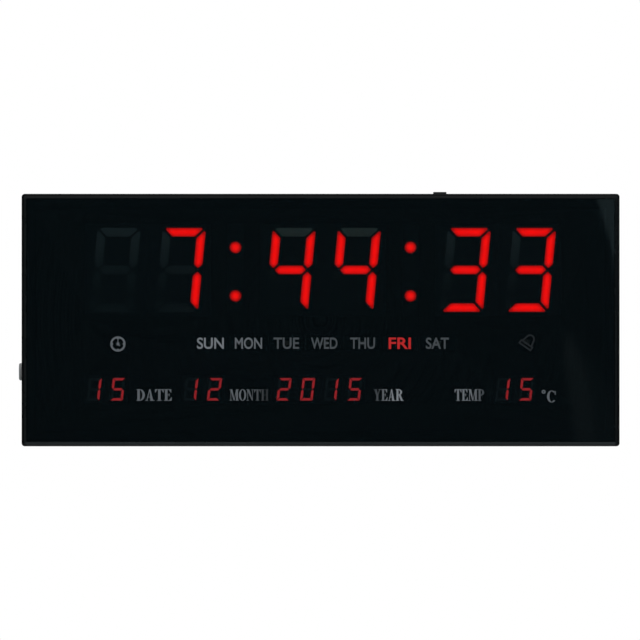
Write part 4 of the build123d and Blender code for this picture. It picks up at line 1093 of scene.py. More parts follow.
def wire_cloth_tree() -> Tree:
    """Weave a round of wire: two crossed sets of wires, each as long as the circle's chord.

    Returns:
        The geometry tree.
    """
    tree, sizes = new_tree(
        "wire_cloth",
        {"Wires": "NodeSocketInt", "Radius": "NodeSocketFloat", "Wire Radius": "NodeSocketFloat"},
    )
    place = add_node(tree, "GeometryNodeInputPosition").outputs[0]
    split = add_node(tree, "ShaderNodeSeparateXYZ", inputs={0: place})
    known: dict[Any, Any] = {
        "radius": sizes.outputs["Radius"],
        "wires": sizes.outputs["Wires"],
        "off middle": split.outputs["Y"],
    }
    # The outermost wires lie a little inside the circle, where they still have a length
    for result, operation, *terms in (
        ("span", "MULTIPLY", "radius", 1.96),
        ("gaps", "SUBTRACT", "wires", 1.0),
        ("pitch", "DIVIDE", "span", "gaps"),
        ("first", "MULTIPLY", "span", -0.5),
        ("off middle squared", "POWER", "off middle", 2.0),
        ("radius squared", "POWER", "radius", 2.0),
        ("half chord squared", "SUBTRACT", "radius squared", "off middle squared"),
        ("half chord", "SQRT", "half chord squared"),
        ("chord", "MULTIPLY", "half chord", 2.0),
    ):
        inputs = {at: known.get(term, term) for at, term in enumerate(terms)}
        known[result] = add_node(tree, "ShaderNodeMath", {"operation": operation}, inputs).outputs[0]
    start = add_node(tree, "ShaderNodeCombineXYZ", inputs={"Y": known["first"]})
    step = add_node(tree, "ShaderNodeCombineXYZ", inputs={"Y": known["pitch"]})
    scale = add_node(tree, "ShaderNodeCombineXYZ", inputs={"X": 1.0, "Y": 1.0, "Z": known["chord"]})
    line = add_node(
        tree,
        "GeometryNodeMeshLine",
        {"mode": "OFFSET"},
        {"Count": known["wires"], "Start Location": start.outputs[0], "Offset": step.outputs[0]},
    )
    wire = add_node(
        tree,
        "GeometryNodeMeshCylinder",
        inputs={"Vertices": 6, "Radius": sizes.outputs["Wire Radius"], "Depth": 1.0},
    )
    wires = add_node(
        tree,
        "GeometryNodeInstanceOnPoints",
        inputs={
            "Points": line.outputs["Mesh"],
            "Instance": wire.outputs["Mesh"],
            "Rotation": (0.0, math.pi / 2, 0.0),
            "Scale": scale.outputs[0],
        },
    )
    crossed = add_node(
        tree,
        "GeometryNodeTransform",
        inputs={"Geometry": wires.outputs["Instances"], "Rotation": (0.0, 0.0, math.pi / 2)},
    )
    both = add_node(tree, "GeometryNodeJoinGeometry")
    tree.links.new(wires.outputs["Instances"], both.inputs[0])
    tree.links.new(crossed.outputs["Geometry"], both.inputs[0])
    close_tree(tree, sizes, both.outputs["Geometry"])
    return tree


def solder_rows_tree() -> Tree:
    """Set rows of solder joints: low domes on a grid of points.

    Returns:
        The geometry tree.
    """
    tree, sizes = new_tree(
        "solder_rows",
        {
            "Columns": "NodeSocketInt",
            "Rows": "NodeSocketInt",
            "Width": "NodeSocketFloat",
            "Depth": "NodeSocketFloat",
            "Joint Radius": "NodeSocketFloat",
        },
    )
    grid = add_node(
        tree,
        "GeometryNodeMeshGrid",
        inputs={
            "Size X": sizes.outputs["Width"],
            "Size Y": sizes.outputs["Depth"],
            "Vertices X": sizes.outputs["Columns"],
            "Vertices Y": sizes.outputs["Rows"],
        },
    )
    dome = add_node(
        tree,
        "GeometryNodeMeshUVSphere",
        inputs={"Segments": 10, "Rings": 6, "Radius": sizes.outputs["Joint Radius"]},
    )
    joints = add_node(
        tree,
        "GeometryNodeInstanceOnPoints",
        inputs={
            "Points": grid.outputs["Mesh"],
            "Instance": dome.outputs["Mesh"],
            "Scale": (1.0, 1.0, 0.7),
        },
    )
    close_tree(tree, sizes, joints.outputs["Instances"])
    return tree


def dial_tree() -> Tree:
    """Set a ring of short marks that point to its middle, as on a clock's dial.

    Returns:
        The geometry tree.
    """
    tree, sizes = new_tree(
        "dial_marks",
        {"Marks": "NodeSocketInt", "Radius": "NodeSocketFloat", "Mark Size": "NodeSocketVector"},
    )
    count = sizes.outputs["Marks"]
    circle = add_node(
        tree, "GeometryNodeMeshCircle", inputs={"Vertices": count, "Radius": sizes.outputs["Radius"]}
    )
    index = add_node(tree, "GeometryNodeInputIndex").outputs[0]
    part = add_node(tree, "ShaderNodeMath", {"operation": "DIVIDE"}, {0: 2 * math.pi, 1: count})
    angle = add_node(tree, "ShaderNodeMath", {"operation": "MULTIPLY"}, {0: index, 1: part.outputs[0]})
    turn = add_node(tree, "ShaderNodeCombineXYZ", inputs={"Z": angle.outputs[0]})
    mark = add_node(tree, "GeometryNodeMeshCube", inputs={"Size": sizes.outputs["Mark Size"]})
    marks = add_node(
        tree,
        "GeometryNodeInstanceOnPoints",
        inputs={
            "Points": circle.outputs["Mesh"],
            "Instance": mark.outputs["Mesh"],
            "Rotation": turn.outputs[0],
        },
    )
    close_tree(tree, sizes, marks.outputs["Instances"])
    return tree


def grown_piece(
    name: str, tree: Tree, sizes: dict[str, Any], finish: Finish, middle: Vector
) -> bpy.types.Object:
    """Run a geometry tree and keep its result as a plain mesh, stood up along the wall.

    Args:
        name: the piece's name.
        tree: the geometry tree.
        sizes: values of the tree's inputs by name.
        finish: the piece's finish.
        middle: where the tree's zero point goes in the clock's frame, in metres.

    Returns:
        A mesh object at the origin.
    """
    host = placed(name, bpy.data.meshes.new(name))
    modifier = host.modifiers.new(name, "NODES")
    modifier.node_group = tree
    values = {**sizes, "Material": finish.material()}
    for item in tree.interface.items_tree:
        if item.in_out == "INPUT":
            modifier[item.identifier] = values[item.name]
    mesh = evaluated_mesh(host)
    host.modifiers.remove(modifier)
    mesh.transform(Matrix.Translation(middle) @ Matrix.Rotation(math.pi / 2, 4, "X"))
    mesh.name = name
    host.data = mesh
    return host


# Dressing the CAD nodes
def dress(node: str, *finishes: Finish) -> bpy.types.Object:
    """Give a CAD node its finishes.

    Args:
        node: the node's name.
        finishes: one finish, or more where its faces are shared out later.

    Returns:
        The node's object.
    """
    piece = bpy.data.objects[node]
    piece.data.materials.clear()
    for finish in finishes:
        piece.data.materials.append(finish.material())
    LOG.info("dressed %s in %s", node, ", ".join(finish.name for finish in finishes))
    return piece


def settle(piece: bpy.types.Object, body: str, finish: Finish | None = None) -> None:
    """Finish a new piece and let it ride.

    Args:
        piece: the piece's object.
        body: the CAD body that it moves with.
        finish: its finish, where its mesh has none yet.
    """
    if finish:
        piece.data.materials.clear()
        piece.data.materials.append(finish.material())
    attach(piece, body)
    LOG.info("placed %s on %s", piece.name, body)


def solids_of(mesh: bpy.types.Mesh) -> list[list[int]]:
    """Sort a mesh of loose triangles into its separate solids.

    Args:
        mesh: a CAD node's mesh.

    Returns:
        Polygon indices of each solid.
    """
    parent: dict[tuple[int, ...], tuple[int, ...]] = {}

    def top(key: tuple[int, ...]) -> tuple[int, ...]:
        """Follow a corner up to the one that stands for its solid.

        Args:
            key: the corner's place in micrometres.

        Returns:
            The place of the corner that stands for the solid.
        """
        while parent[key] != key:
            parent[key] = parent[parent[key]]
            key = parent[key]
        return key

    corners = [tuple(round(c / MICROMETRE) for c in vertex.co) for vertex in mesh.vertices]
    for corner in corners:
        parent.setdefault(corner, corner)
    for polygon in mesh.polygons:
        first = top(corners[polygon.vertices[0]])
        for vertex in polygon.vertices[1:]:
            parent[top(corners[vertex])] = first
    found: dict[tuple[int, ...], list[int]] = {}
    for polygon in mesh.polygons:
        found.setdefault(top(corners[polygon.vertices[0]]), []).append(polygon.index)
    return list(found.values())


# Displays
class Glyph(Enum):
    """Bars that are on in a digit: A top, B and C right, D bottom, E and F left, G middle."""

    BLANK = ""
    ZERO = "ABCDEF"
    ONE = "BC"
    TWO = "ABGED"
    THREE = "ABGCD"
    FOUR = "FGBC"
    FIVE = "AFGCD"
    SEVEN = "ABC"


@dataclass(frozen=True)
class DigitForm:
    """Sizes of a seven-bar digit, its lean in degrees, and the pitch of digits in one display."""

    width: float
    height: float
    stroke: float
    slant: float
    pitch: float

    def bar_at(self, across: float, up: float) -> str:
        """Name the bar nearest to a point of an upright digit.

        Args:
            across: how far the point lies right of the digit's middle.
            up: how far it lies above the middle.

        Returns:
            The bar's letter.
        """
        side = (self.width - self.stroke) / 2
        top = (self.height - self.stroke) / 2
        middles = {
            "A": (0, top),
            "B": (side, top / 2),
            "C": (side, -top / 2),
            "D": (0, -top),
            "E": (-side, -top / 2),
            "F": (-side, top / 2),
            "G": (0, 0),
        }
        return min(middles, key=lambda bar: math.dist(middles[bar], (across, up)))


@dataclass
class SegmentDisplay:
    """One seven-bar display of one or more digits.

    The node's bars are sorted by where they lie in their digit, so that each can be on or off.
    """

    name: str
    glyphs: tuple[Glyph, ...]
    form: DigitForm
    lit: Finish
    unlit: Finish = RESIN_DARK

    def build(self) -> None:
        """Dress the housing and the bars, and switch the glyphs' bars on."""
        dress(f"{self.name}_housing", MODULE_PLASTIC)
        node = f"{self.name}_segments"
        piece = dress(node, self.unlit, self.lit)
        low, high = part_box(node)
        centre = (low + high) / (2 * MM)
        lean = math.tan(math.radians(self.form.slant))
        last = len(self.glyphs) - 1
        first_middle = centre.x - last * self.form.pitch / 2
        polygons = piece.data.polygons
        for solid in solids_of(piece.data):
            middle = sum((polygons[i].center for i in solid), Vector()) / len(solid) / MM
            up = middle.z - centre.z
            across = middle.x - up * lean - first_middle
            digit = min(max(round(across / self.form.pitch), 0), last)
            bar = self.form.bar_at(across - digit * self.form.pitch, up)
            for i in solid:
                polygons[i].material_index = int(bar in self.glyphs[digit].value)


@dataclass
class TimeRow:
    """The six large digits and the two colons."""

    digits: tuple[tuple[str, Glyph, Finish], ...] = (
        ("hour_tens", Glyph.BLANK, RESIN_DARK),
        ("hour_ones", Glyph.SEVEN, RESIN_DARK),
        # The minutes' unlit bars carry painted stray light from their lit neighbours
        ("minute_tens", Glyph.FOUR, RESIN_PAINTED_STRAY_LIGHT),
        ("minute_ones", Glyph.FOUR, RESIN_PAINTED_STRAY_LIGHT),
        ("second_tens", Glyph.THREE, RESIN_DARK),
        ("second_ones", Glyph.THREE, RESIN_DARK),
    )
    form: DigitForm = DigitForm(width=26.0, height=50.6, stroke=5.2, slant=5.5, pitch=26.0)

    def build(self) -> None:
        """Light each digit's bars and all the colon dots."""
        for name, glyph, unlit in self.digits:
            SegmentDisplay(name, (glyph,), self.form, RESIN_LIT, unlit).build()
        dress("colon_housings", MODULE_PLASTIC)
        dress("colon_dots", DOT_LIT)


@dataclass
class CalendarRow:
    """The small digits of the date, month, year and temperature."""

    digits: tuple[tuple[str, tuple[Glyph, ...]], ...] = (
        ("date", (Glyph.ONE, Glyph.FIVE)),
        ("month", (Glyph.ONE, Glyph.TWO)),
        ("year", (Glyph.TWO, Glyph.ZERO, Glyph.ONE, Glyph.FIVE)),
        ("temperature", (Glyph.ONE, Glyph.FIVE)),
    )
    form: DigitForm = DigitForm(width=7.6, height=13.6, stroke=1.5, slant=7.0, pitch=14.19)

    def build(self) -> None:
        """Light each small display's digits."""
        for name, glyphs in self.digits:
            SegmentDisplay(name, glyphs, self.form, RESIN_LIT_SMALL).build()


# Printed legends
@dataclass
class Signs:
    """Outlines of the generic signs, drawn about their own middle in millimetres."""

    line: float = 1.0

    def dial(self, radius: float, hub: float) -> FlatShape:
        """Draw a ring with a hub and two hands; its hour marks are grown apart.

        Args:
            radius: the ring's outer radius.
            hub: the hub's radius.

        Returns:
            The sign.
        """
        hand = self.line * 0.2
        near, far = radius * 0.22, radius * 0.3
        strokes = [
            *ring((0, 0), (radius, radius), (self.line, self.line)),
            *ring((0, 0), (hub, hub), (hub * 0.98, hub * 0.98)),
            Bar(-hand, 0, hand, radius * 0.7),
            Shape(((-hand, 0), (near, -far), (far, -near), (hand, hand))),
        ]
        return FlatShape.of_strokes(strokes)

    def bell(self, reach: float, tilt: float) -> FlatShape:
        """Draw a bell in outline: a dome on a flat rim.

        Args:
            reach: about half the bell's height.
            tilt: how far it leans, in degrees.

        Returns:
            The sign.
        """
        thick = self.line
        waist, mouth, rim = reach * 0.62, reach * 0.78, reach * 0.94
        shoulder, sill, foot = reach * 0.3, -reach * 0.36, -reach * 0.9
        strokes = [
            Bow((0, reach * 0.28), (waist, reach * 0.66), (thick, thick), 0, 180),
            Shape(((waist - thick, shoulder), (mouth - thick, sill), (mouth, sill), (waist, shoulder))),
            Shape(((-waist, shoulder), (-mouth, sill), (thick - mouth, sill), (thick - waist, shoulder))),
            Bar(-rim, sill - thick / 2, rim, sill + thick / 2),
            Bar(-rim, foot, rim, foot + thick),
            Bar(-rim, foot, thick - rim, sill),
            Bar(rim - thick, foot, rim, sill),
        ]
        return FlatShape.of_strokes(strokes).turned(tilt)

    def triangle(self, reach: float, points_up: bool) -> FlatShape:
        """Draw a solid triangle.

        Args:
            reach: half its width, and how far its tip lies from the middle.
            points_up: whether the tip is above.

        Returns:
            The sign.
        """
        tip = reach if points_up else -reach
        corners = [(-reach, -tip * 0.6), (reach, -tip * 0.6), (0, tip)]
        return FlatShape.of_strokes([Shape(tuple(corners if points_up else corners[::-1]))])

    def plus(self, reach: float) -> FlatShape:
        """Return a plus sign whose arms reach this far."""
        half = self.line / 2
        return FlatShape.of_strokes([Bar(-reach, -half, reach, half), Bar(-half, -reach, half, reach)])

    def direct_current(self, reach: float) -> FlatShape:
        """Draw a long line over three dashes.

        Args:
            reach: half the line's length.

        Returns:
            The sign.
        """
        half = self.line / 2
        half_dash = reach * 0.25
        strokes = [Bar(-reach, self.line - half, reach, self.line + half)]
        for step in (-1, 0, 1):
            middle = step * reach * 0.75
            strokes.append(Bar(middle - half_dash, -self.line - half, middle + half_dash, half - self.line))
        return FlatShape.of_strokes(strokes)


@dataclass(frozen=True)
class Word:
    """A printed word, with the middle and width of the place that it fills."""

    text: str
    middle: float
    width: float
    ink: LegendInk


@dataclass
class PanelPrint:
    """Legends in ink on the front of the panel."""

    days: tuple[Word, ...] = (
        # Each word takes a lighter or darker copy of the ink: painted light and shade
        Word("SUN", -66.3, 16.2, LegendInk.PALE),
        Word("MON", -43.4, 16.4, LegendInk.MIDDLE),
        Word("TUE", -20.6, 15.4, LegendInk.DIM),
        Word("WED", 2.2, 16.0, LegendInk.DIM),
        Word("THU", 25.3, 15.0, LegendInk.DIM),
        Word("FRI", 47.7, 13.4, LegendInk.LIT),
        Word("SAT", 70.3, 13.8, LegendInk.DIM),
    )
    day_row: float = -13.95
    day_height: float = 6.9
    day_weight: float = 0.018
    labels: tuple[Word, ...] = (
        # The labels' inks also carry painted shade, some of it along the word
        Word("DATE", -100.2, 21.4, LegendInk.MIDDLE),
        Word("MONTH", -43.0, 23.6, LegendInk.SHADED_MONTH),
        Word("YEAR", 40.95, 18.2, LegendInk.SHADED_YEAR),
        Word("TEMP", 89.6, 17.8, LegendInk.SHADED_TEMP),
    )
    label_row: float = -45.1
    label_height: float = 7.0
    degree: Point = (134.3, -43.2)
    degree_radius: float = 1.15
    degree_band: float = 0.69
    celsius: Point = (138.9, -46.0)
    celsius_size: Point = (5.2, 7.2)
    dial: Point = (-122.0, -14.4)
    dial_radius: float = 4.6
    dial_line: float = 1.15
    dial_hub: float = 0.9
    hour_marks: int = 4
    hour_mark_inset: float = 1.3
    hour_mark_size: Point = (0.8, 1.3)
    bell: Point = (125.2, -12.8)
    bell_reach: float = 4.8
    bell_tilt: float = -35.0
    ink_height: float = 0.03

    def build(self) -> None:
        """Print every legend on the panel's front face."""
        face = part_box("front_panel")[0].y / MM
        for word in self.days:
            shape = FlatShape.of_text(word.text, self.day_weight)
            shape = shape.fitted((word.middle, self.day_row), word.width, self.day_height)
            self.lay_ink(f"day_{word.text.lower()}", shape, face, word.ink)
        for word in self.labels:
            shape = serif_word(word.text)
            shape = shape.fitted((word.middle, self.label_row), word.width, self.label_height)
            self.lay_ink(f"label_{word.text.lower()}", shape, face, word.ink)
        radii, band = (self.degree_radius, self.degree_radius), (self.degree_band, self.degree_band)
        degree = FlatShape.of_strokes(ring((0, 0), radii, band)).moved(self.degree)
        celsius = serif_word("C").fitted(self.celsius, *self.celsius_size)
        self.lay_ink("label_celsius", celsius.joined(degree), face, LegendInk.MIDDLE)
        dial = Signs(self.dial_line).dial(self.dial_radius, self.dial_hub).moved(self.dial)
        self.lay_ink("sign_clock", dial, face, LegendInk.MIDDLE)
        self.grow_hour_marks(face)
        bell = Signs().bell(self.bell_reach, self.bell_tilt).moved(self.bell)
        self.lay_ink("sign_bell", bell, face, LegendInk.FAINT)

    def lay_ink(self, name: str, shape: FlatShape, face: float, ink: LegendInk) -> None:
        """Lay one shape of ink on the panel."""
        settle(shape.solid(name, face, self.ink_height), "case", ink.value)

    def grow_hour_marks(self, face: float) -> None:
        """Grow short marks inside the clock sign's ring.

        Args:
            face: the Y of the panel's front face.
        """
        width, length = self.hour_mark_size
        marks = grown_piece(
            "sign_clock_marks",
            dial_tree(),
            {
                "Marks": self.hour_marks,
                "Radius": (self.dial_radius - self.hour_mark_inset) * MM,
                "Mark Size": (width * MM, length * MM, self.ink_height * MM),
            },
            LegendInk.MIDDLE.value,
            Vector((self.dial[0], face - self.ink_height / 2, self.dial[1])) * MM,
        )
        settle(marks, "case")


# Case, back and inside
@dataclass
class FrontCase:
    """Frame, smoked panel, tape and mask film.

    A face of the frame is polished, and darkened with painted shade, where it leans outwards: where its
    distance from the middle, measured along its own normal in the plane of the wall, is over the least one.
    """

    least_outward: float = 4.0

    def build(self) -> None:
        """Dress the pieces of the front: the rim's lip is satin, its outer round and sides are polished and
        darkened with painted shade.
        """
        frame = dress("front_frame", FRAME_ABS, FRAME_POLISHED_SHADED)
        for polygon in frame.data.polygons:
            outward = polygon.normal.x * polygon.center.x + polygon.normal.z * polygon.center.z
            polygon.material_index = int(outward > self.least_outward * MM)
        dress("front_panel", SMOKED_ACRYLIC)
        dress("panel_tape", FOAM_TAPE)
        dress("mask_film", MASK_INK)


@dataclass
class RearCover:
    """Cover, screws, cell hatch, speaker cloth and the signs printed on the back."""

    sign_height: float = 0.02
    sign_line: float = 0.7
    button_columns: tuple[float, ...] = (-22.5, -7.5, 7.5, 22.5)
    button_sign_row: float = 17.2
    set_radius: float = 2.4
    set_hub: float = 0.6
    step_reach: float = 2.0
    alarm_reach: float = 2.5
    power_reach: float = 3.2
    socket_sign: Point = (-158.0, -31.2)
    hatch_middle: Point = (75.6, -21.28)
    arrow_reach: float = 2.2
    arrow_drop: float = 3.4
    arrow_height: float = 0.2
    plus_line: float = 0.9
    plus_reach: float = 2.6
    plus_rise: float = 4.0
    plus_height: float = 0.05
    speaker: Point = (-75.6, -21.28)
    cloth_wires: int = 44
    cloth_radius: float = 11.4
    cloth_depth: float = 2.32
    wire_radius: float = 0.05

    def build(self) -> None:
        """Dress the back and add its small pieces."""
        dress("rear_cover", COVER_ABS)
        dress("cover_screws", SCREW_STEEL)
        dress("battery_hatch", COVER_ABS)
        dress("coin_cell", CELL_STEEL)
        dress("cell_contacts", CONTACT_NICKEL)
        self.print_button_signs()
        self.raise_hatch_signs()
        self.lay_speaker_cloth()

    def print_sign(self, name: str, shape: FlatShape, place: Point) -> None:
        """Pad-print a sign on the cover so that it reads right from behind."""
        sign = shape.moved((-place[0], place[1])).solid(name, 0.0, self.sign_height, facing_wall=True)
        settle(sign, "case", PAD_INK)

    def print_button_signs(self) -> None:
        """Print what each set button does above it, and the power sign beside the socket."""
        signs = Signs(self.sign_line)
        shapes = (
            ("sign_set", signs.dial(self.set_radius, self.set_hub)),
            ("sign_up", signs.triangle(self.step_reach, True)),
            ("sign_down", signs.triangle(self.step_reach, False)),
            ("sign_alarm", signs.bell(self.alarm_reach, 0.0)),
        )
        for (name, shape), column in zip(shapes, self.button_columns):
            self.print_sign(name, shape, (column, self.button_sign_row))
        self.print_sign("sign_direct_current", signs.direct_current(self.power_reach), self.socket_sign)

    def raise_hatch_signs(self) -> None:
        """Raise an arrow on the hatch and print the plus pole on the cell under it."""
        x, z = self.hatch_middle
        hatch_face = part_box("battery_hatch")[1].y / MM
        arrow = Signs().triangle(self.arrow_reach, False).moved((-x, z - self.arrow_drop))
        raised = arrow.solid("hatch_arrow", hatch_face, self.arrow_height, facing_wall=True)
        settle(raised, "hatch", COVER_ABS)
        cell_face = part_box("coin_cell")[1].y / MM
        plus = Signs(self.plus_line).plus(self.plus_reach).moved((-x, z + self.plus_rise))
        settle(plus.solid("cell_plus", cell_face, self.plus_height, facing_wall=True), "case", CHIP_EPOXY)

    def lay_speaker_cloth(self) -> None:
        """Weave the wire cloth that keeps dust out of the speaker's grille."""
        cloth = grown_piece(
            "speaker_cloth",
            wire_cloth_tree(),
            {
                "Wires": self.cloth_wires,
                "Radius": self.cloth_radius * MM,
                "Wire Radius": self.wire_radius * MM,
            },
            SPEAKER_STEEL,
            Vector((self.speaker[0], -self.cloth_depth, self.speaker[1])) * MM,
        )
        settle(cloth, "case")


@dataclass
class Keys:
    """Set buttons, top button and the plungers that they press."""

    caps: tuple[tuple[str, Finish], ...] = (
        ("set", KEY_SILICONE),
        ("up", KEY_SILICONE),
        ("down", KEY_SILICONE),
        ("alarm", KEY_SILICONE),
        ("top", BUTTON_ABS),
    )

    def build(self) -> None:
        """Dress the caps, the plungers and the switch bodies."""
        for name, finish in self.caps:
            dress(f"{name}_button", finish)
            dress(f"{name}_plunger", PLUNGER_POLYAMIDE)
        dress("switch_bodies", SWITCH_POLYAMIDE)


@dataclass
class Inside:
    """Board, its parts, the speaker, the power socket and the leads."""

    finishes: tuple[tuple[str, Finish], ...] = (
        ("display_board", BOARD_LAMINATE),
        ("board_screws", SCREW_STEEL),
        ("light_boxes", MODULE_PLASTIC),
        ("indicator_lamps", LAMP_RESIN),
        ("board_chips", CHIP_EPOXY),
        ("quartz_crystal", CRYSTAL_CAN),
        ("capacitors", CAPACITOR_SLEEVE),
        ("temperature_sensor", CHIP_EPOXY),
        ("connectors", CONNECTOR_NYLON),
        ("speaker_cone", SPEAKER_PAPER),
        ("speaker_basket", SPEAKER_STEEL),
        ("speaker_magnet", SPEAKER_FERRITE),
        ("dc_socket", SOCKET_PBT),
        ("dc_socket_contacts", CONTACT_NICKEL),
        ("dc_socket_nut", CONTACT_NICKEL),
        ("lead_wires", LEAD_PVC),
    )
    joint_columns: tuple[tuple[str, int], ...] = (
        ("date", 7),
        ("month", 7),
        ("year", 14),
        ("temperature", 7),
    )
    joint_rows: int = 2
    joint_pitch: float = 2.54
    joint_row_gap: float = 15.24
    joint_radius: float = 0.75

    def build(self) -> None:
        """Dress the hidden pieces and solder the small displays to the board."""
        for node, finish in self.finishes:
            dress(node, finish)
        board_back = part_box("display_board")[1].y
        tree = solder_rows_tree()
        for name, columns in self.joint_columns:
            low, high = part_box(f"{name}_housing")
            middle = (low + high) / 2
            joints = grown_piece(
                f"{name}_solder",
                tree,
                {
                    "Columns": columns,
                    "Rows": self.joint_rows,
                    "Width": (columns - 1) * self.joint_pitch * MM,
                    "Depth": self.joint_row_gap * MM,
                    "Joint Radius": self.joint_radius * MM,
                },
                SOLDER,
                Vector((middle.x, board_back, middle.z)),
            )
            settle(joints, "case")


# Studio
@dataclass(frozen=True)
class Lamp:
    """A soft square lamp that points at the clock's middle."""

    name: str
    place: Place
    size: float
    watts: float


@dataclass
class Studio:
    """Pale floor, white surroundings, soft lamps, cards for the reflections and the camera."""

    lamps: tuple[Lamp, ...] = (
        Lamp("lamp_front_top", (-180.0, -620.0, 700.0), 420.0, 5.0),
        Lamp("lamp_front_right", (900.0, -900.0, 250.0), 500.0, 4.0),
        Lamp("lamp_back_top", (-300.0, 550.0, 1200.0), 600.0, 7.0),
        Lamp("lamp_back_side", (800.0, 700.0, 200.0), 600.0, 2.6),
    )
    soft_light: float = 0.4
    room_dark: float = 0.012
    room_pale: float = 0.16
    pale_behind: Point = (0.1, 0.95)
    pale_above: Point = (0.3, 0.75)
    floor_drop: float = 350.0
    floor_radius: float = 4000.0
    floor_sides: int = 96
    floor_fade: Point = (0.35, 0.97)
    floor_colour: str = "#e9ebec"
    floor_seen: float = 0.72
    floor_mirrored: float = 0.2
    lens: float = 600.0
    sensor: float = 36.0
    pixel: float = 0.602
    pixels: int = 640
    aim: Point = (-0.34, 0.04)
    farthest: float = 100000.0
    card_strength: float = 0.46
    card_tint: str = "#c8eef4"
    shaft_strength: float = 0.11
    haze_strength: float = 0.05
    haze_behind: float = 1.0
    pale_tint: str = "#dceef2"
    strip_middle: Place = (0.0, -1275.0, 780.0)
    strip_size: Point = (1000.0, 220.0)
    strip_strength: float = 0.9
    side_away: float = 1500.0
    side_card: tuple[Point, Point] = ((-150.0, 150.0), (-20.0, 140.0))
    side_strength: float = 0.35

    def build(self) -> None:
        """Set up everything around the clock."""
        bpy.context.scene.view_settings.view_transform = "Standard"
        self.build_world()
        self.build_floor()
        self.build_lamps()
        self.build_cards()
        self.build_camera()

    def rays(self, tree: Tree) -> tuple[Socket, Socket]:
        """Tell what kind of ray meets a surface or the world.

        Args:
            tree: the tree of the material or the world.

        Returns:
            Sockets that are 1 for the camera's rays, straight or through glass, and for mirrored rays.
        """
        ray = add_node(tree, "ShaderNodeLightPath")
        looks = {0: ray.outputs["Is Camera Ray"], 1: ray.outputs["Is Transmission Ray"]}
        seen = add_node(tree, "ShaderNodeMath", {"operation": "MAXIMUM"}, looks)
        return seen.outputs[0], ray.outputs["Is Glossy Ray"]

    def build_world(self) -> None:
        """White for the camera, soft grey light, and for gloss a dark room, paler behind and above."""
        world = bpy.data.worlds.new("studio")
        bpy.context.scene.world = world
        tree = emptied(world)
        way = add_node(tree, "ShaderNodeTexCoord").outputs["Generated"]
        split = add_node(tree, "ShaderNodeSeparateXYZ", inputs={0: way})
        pales = {}
        for at, (axis, (start, end)) in enumerate((("Y", self.pale_behind), ("Z", self.pale_above))):
            ends = {"From Min": start, "From Max": end, "To Min": self.room_dark, "To Max": self.room_pale}
            inputs = {"Value": split.outputs[axis], **ends}
            pale = add_node(tree, "ShaderNodeMapRange", {"interpolation_type": "SMOOTHSTEP"}, inputs)
            pales[at] = pale.outputs["Result"]
        room = add_node(tree, "ShaderNodeMath", {"operation": "MAXIMUM"}, pales).outputs[0]
        white, soft, mirrored = (
            add_node(tree, "ShaderNodeBackground", inputs={"Color": WHITE, "Strength": strength}).outputs[0]
            for strength in (1.0, self.soft_light, room)
        )
        seen, glossy = self.rays(tree)
        unseen = add_node(tree, "ShaderNodeMixShader", inputs={0: glossy, 1: soft, 2: mirrored}).outputs[0]
        shown = add_node(tree, "ShaderNodeMixShader", inputs={0: seen, 1: unseen, 2: white}).outputs[0]
        add_node(tree, "ShaderNodeOutputWorld", inputs={"Surface": shown})

    def build_floor(self) -> None:
        """Round pale floor that fades out at its edge and isn't seen from below."""
        turns = [2 * math.pi * i / self.floor_sides for i in range(self.floor_sides)]
        reach, level = self.floor_radius, -self.floor_drop
        corners = [(reach * math.cos(turn), reach * math.sin(turn), level) for turn in turns]
        floor = meshed("floor", corners, [tuple(range(self.floor_sides))])
        floor.data.materials.append(self.floor_material())

    def floor_material(self) -> bpy.types.Material:
        """Make matt paper: white to the camera, dim in reflections, clear at its edge and from below.

        Returns:
            The floor's material.
        """
        material = bpy.data.materials.new("floor_paper")
        tree = emptied(material)
        place = add_node(tree, "ShaderNodeTexCoord").outputs["Object"]
        away = add_node(tree, "ShaderNodeVectorMath", {"operation": "LENGTH"}, {0: place})
        start, end = (share * self.floor_radius * MM for share in self.floor_fade)
        inputs = {"Value": away.outputs["Value"], "From Min": start, "From Max": end}
        edge = add_node(tree, "ShaderNodeMapRange", {"interpolation_type": "SMOOTHSTEP"}, inputs)
        under = add_node(tree, "ShaderNodeNewGeometry").outputs["Backfacing"]
        gone = {0: edge.outputs["Result"], 1: under}
        clear = add_node(tree, "ShaderNodeMath", {"operation": "MAXIMUM"}, gone).outputs[0]
        seen, glossy = self.rays(tree)
        shares = {0: seen, 1: self.floor_seen}
        share = add_node(tree, "ShaderNodeMath", {"operation": "MULTIPLY"}, shares).outputs[0]
        colour = {"Color": linear(self.floor_colour)}
        paper = add_node(tree, "ShaderNodeBsdfDiffuse", inputs=colour).outputs[0]
        bright, dim = (
            add_node(tree, "ShaderNodeEmission", inputs={"Color": WHITE, "Strength": strength}).outputs[0]
            for strength in (1.0, self.floor_mirrored)
        )
        none = add_node(tree, "ShaderNodeBsdfTransparent").outputs[0]
        surface = paper
        for factor, other in ((share, bright), (glossy, dim), (clear, none)):
            mixed = add_node(tree, "ShaderNodeMixShader", inputs={0: factor, 1: surface, 2: other})
            surface = mixed.outputs[0]
        add_node(tree, "ShaderNodeOutputMaterial", inputs={"Surface": surface})
        return material

    def build_lamps(self) -> None:
        """Hang the soft lamps, which neither the camera nor a glossy face sees."""
        for lamp in self.lamps:
            light = bpy.data.lights.new(lamp.name, "AREA")
            light.size = lamp.size * MM
            light.energy = lamp.watts
            holder = placed(lamp.name, light)
            holder.location = Vector(lamp.place) * MM
            holder.rotation_euler = (-holder.location).to_track_quat("-Z", "Y").to_euler()
            holder.visible_camera = False
            holder.visible_glossy = False
            LOG.info("hung %s", lamp.name)

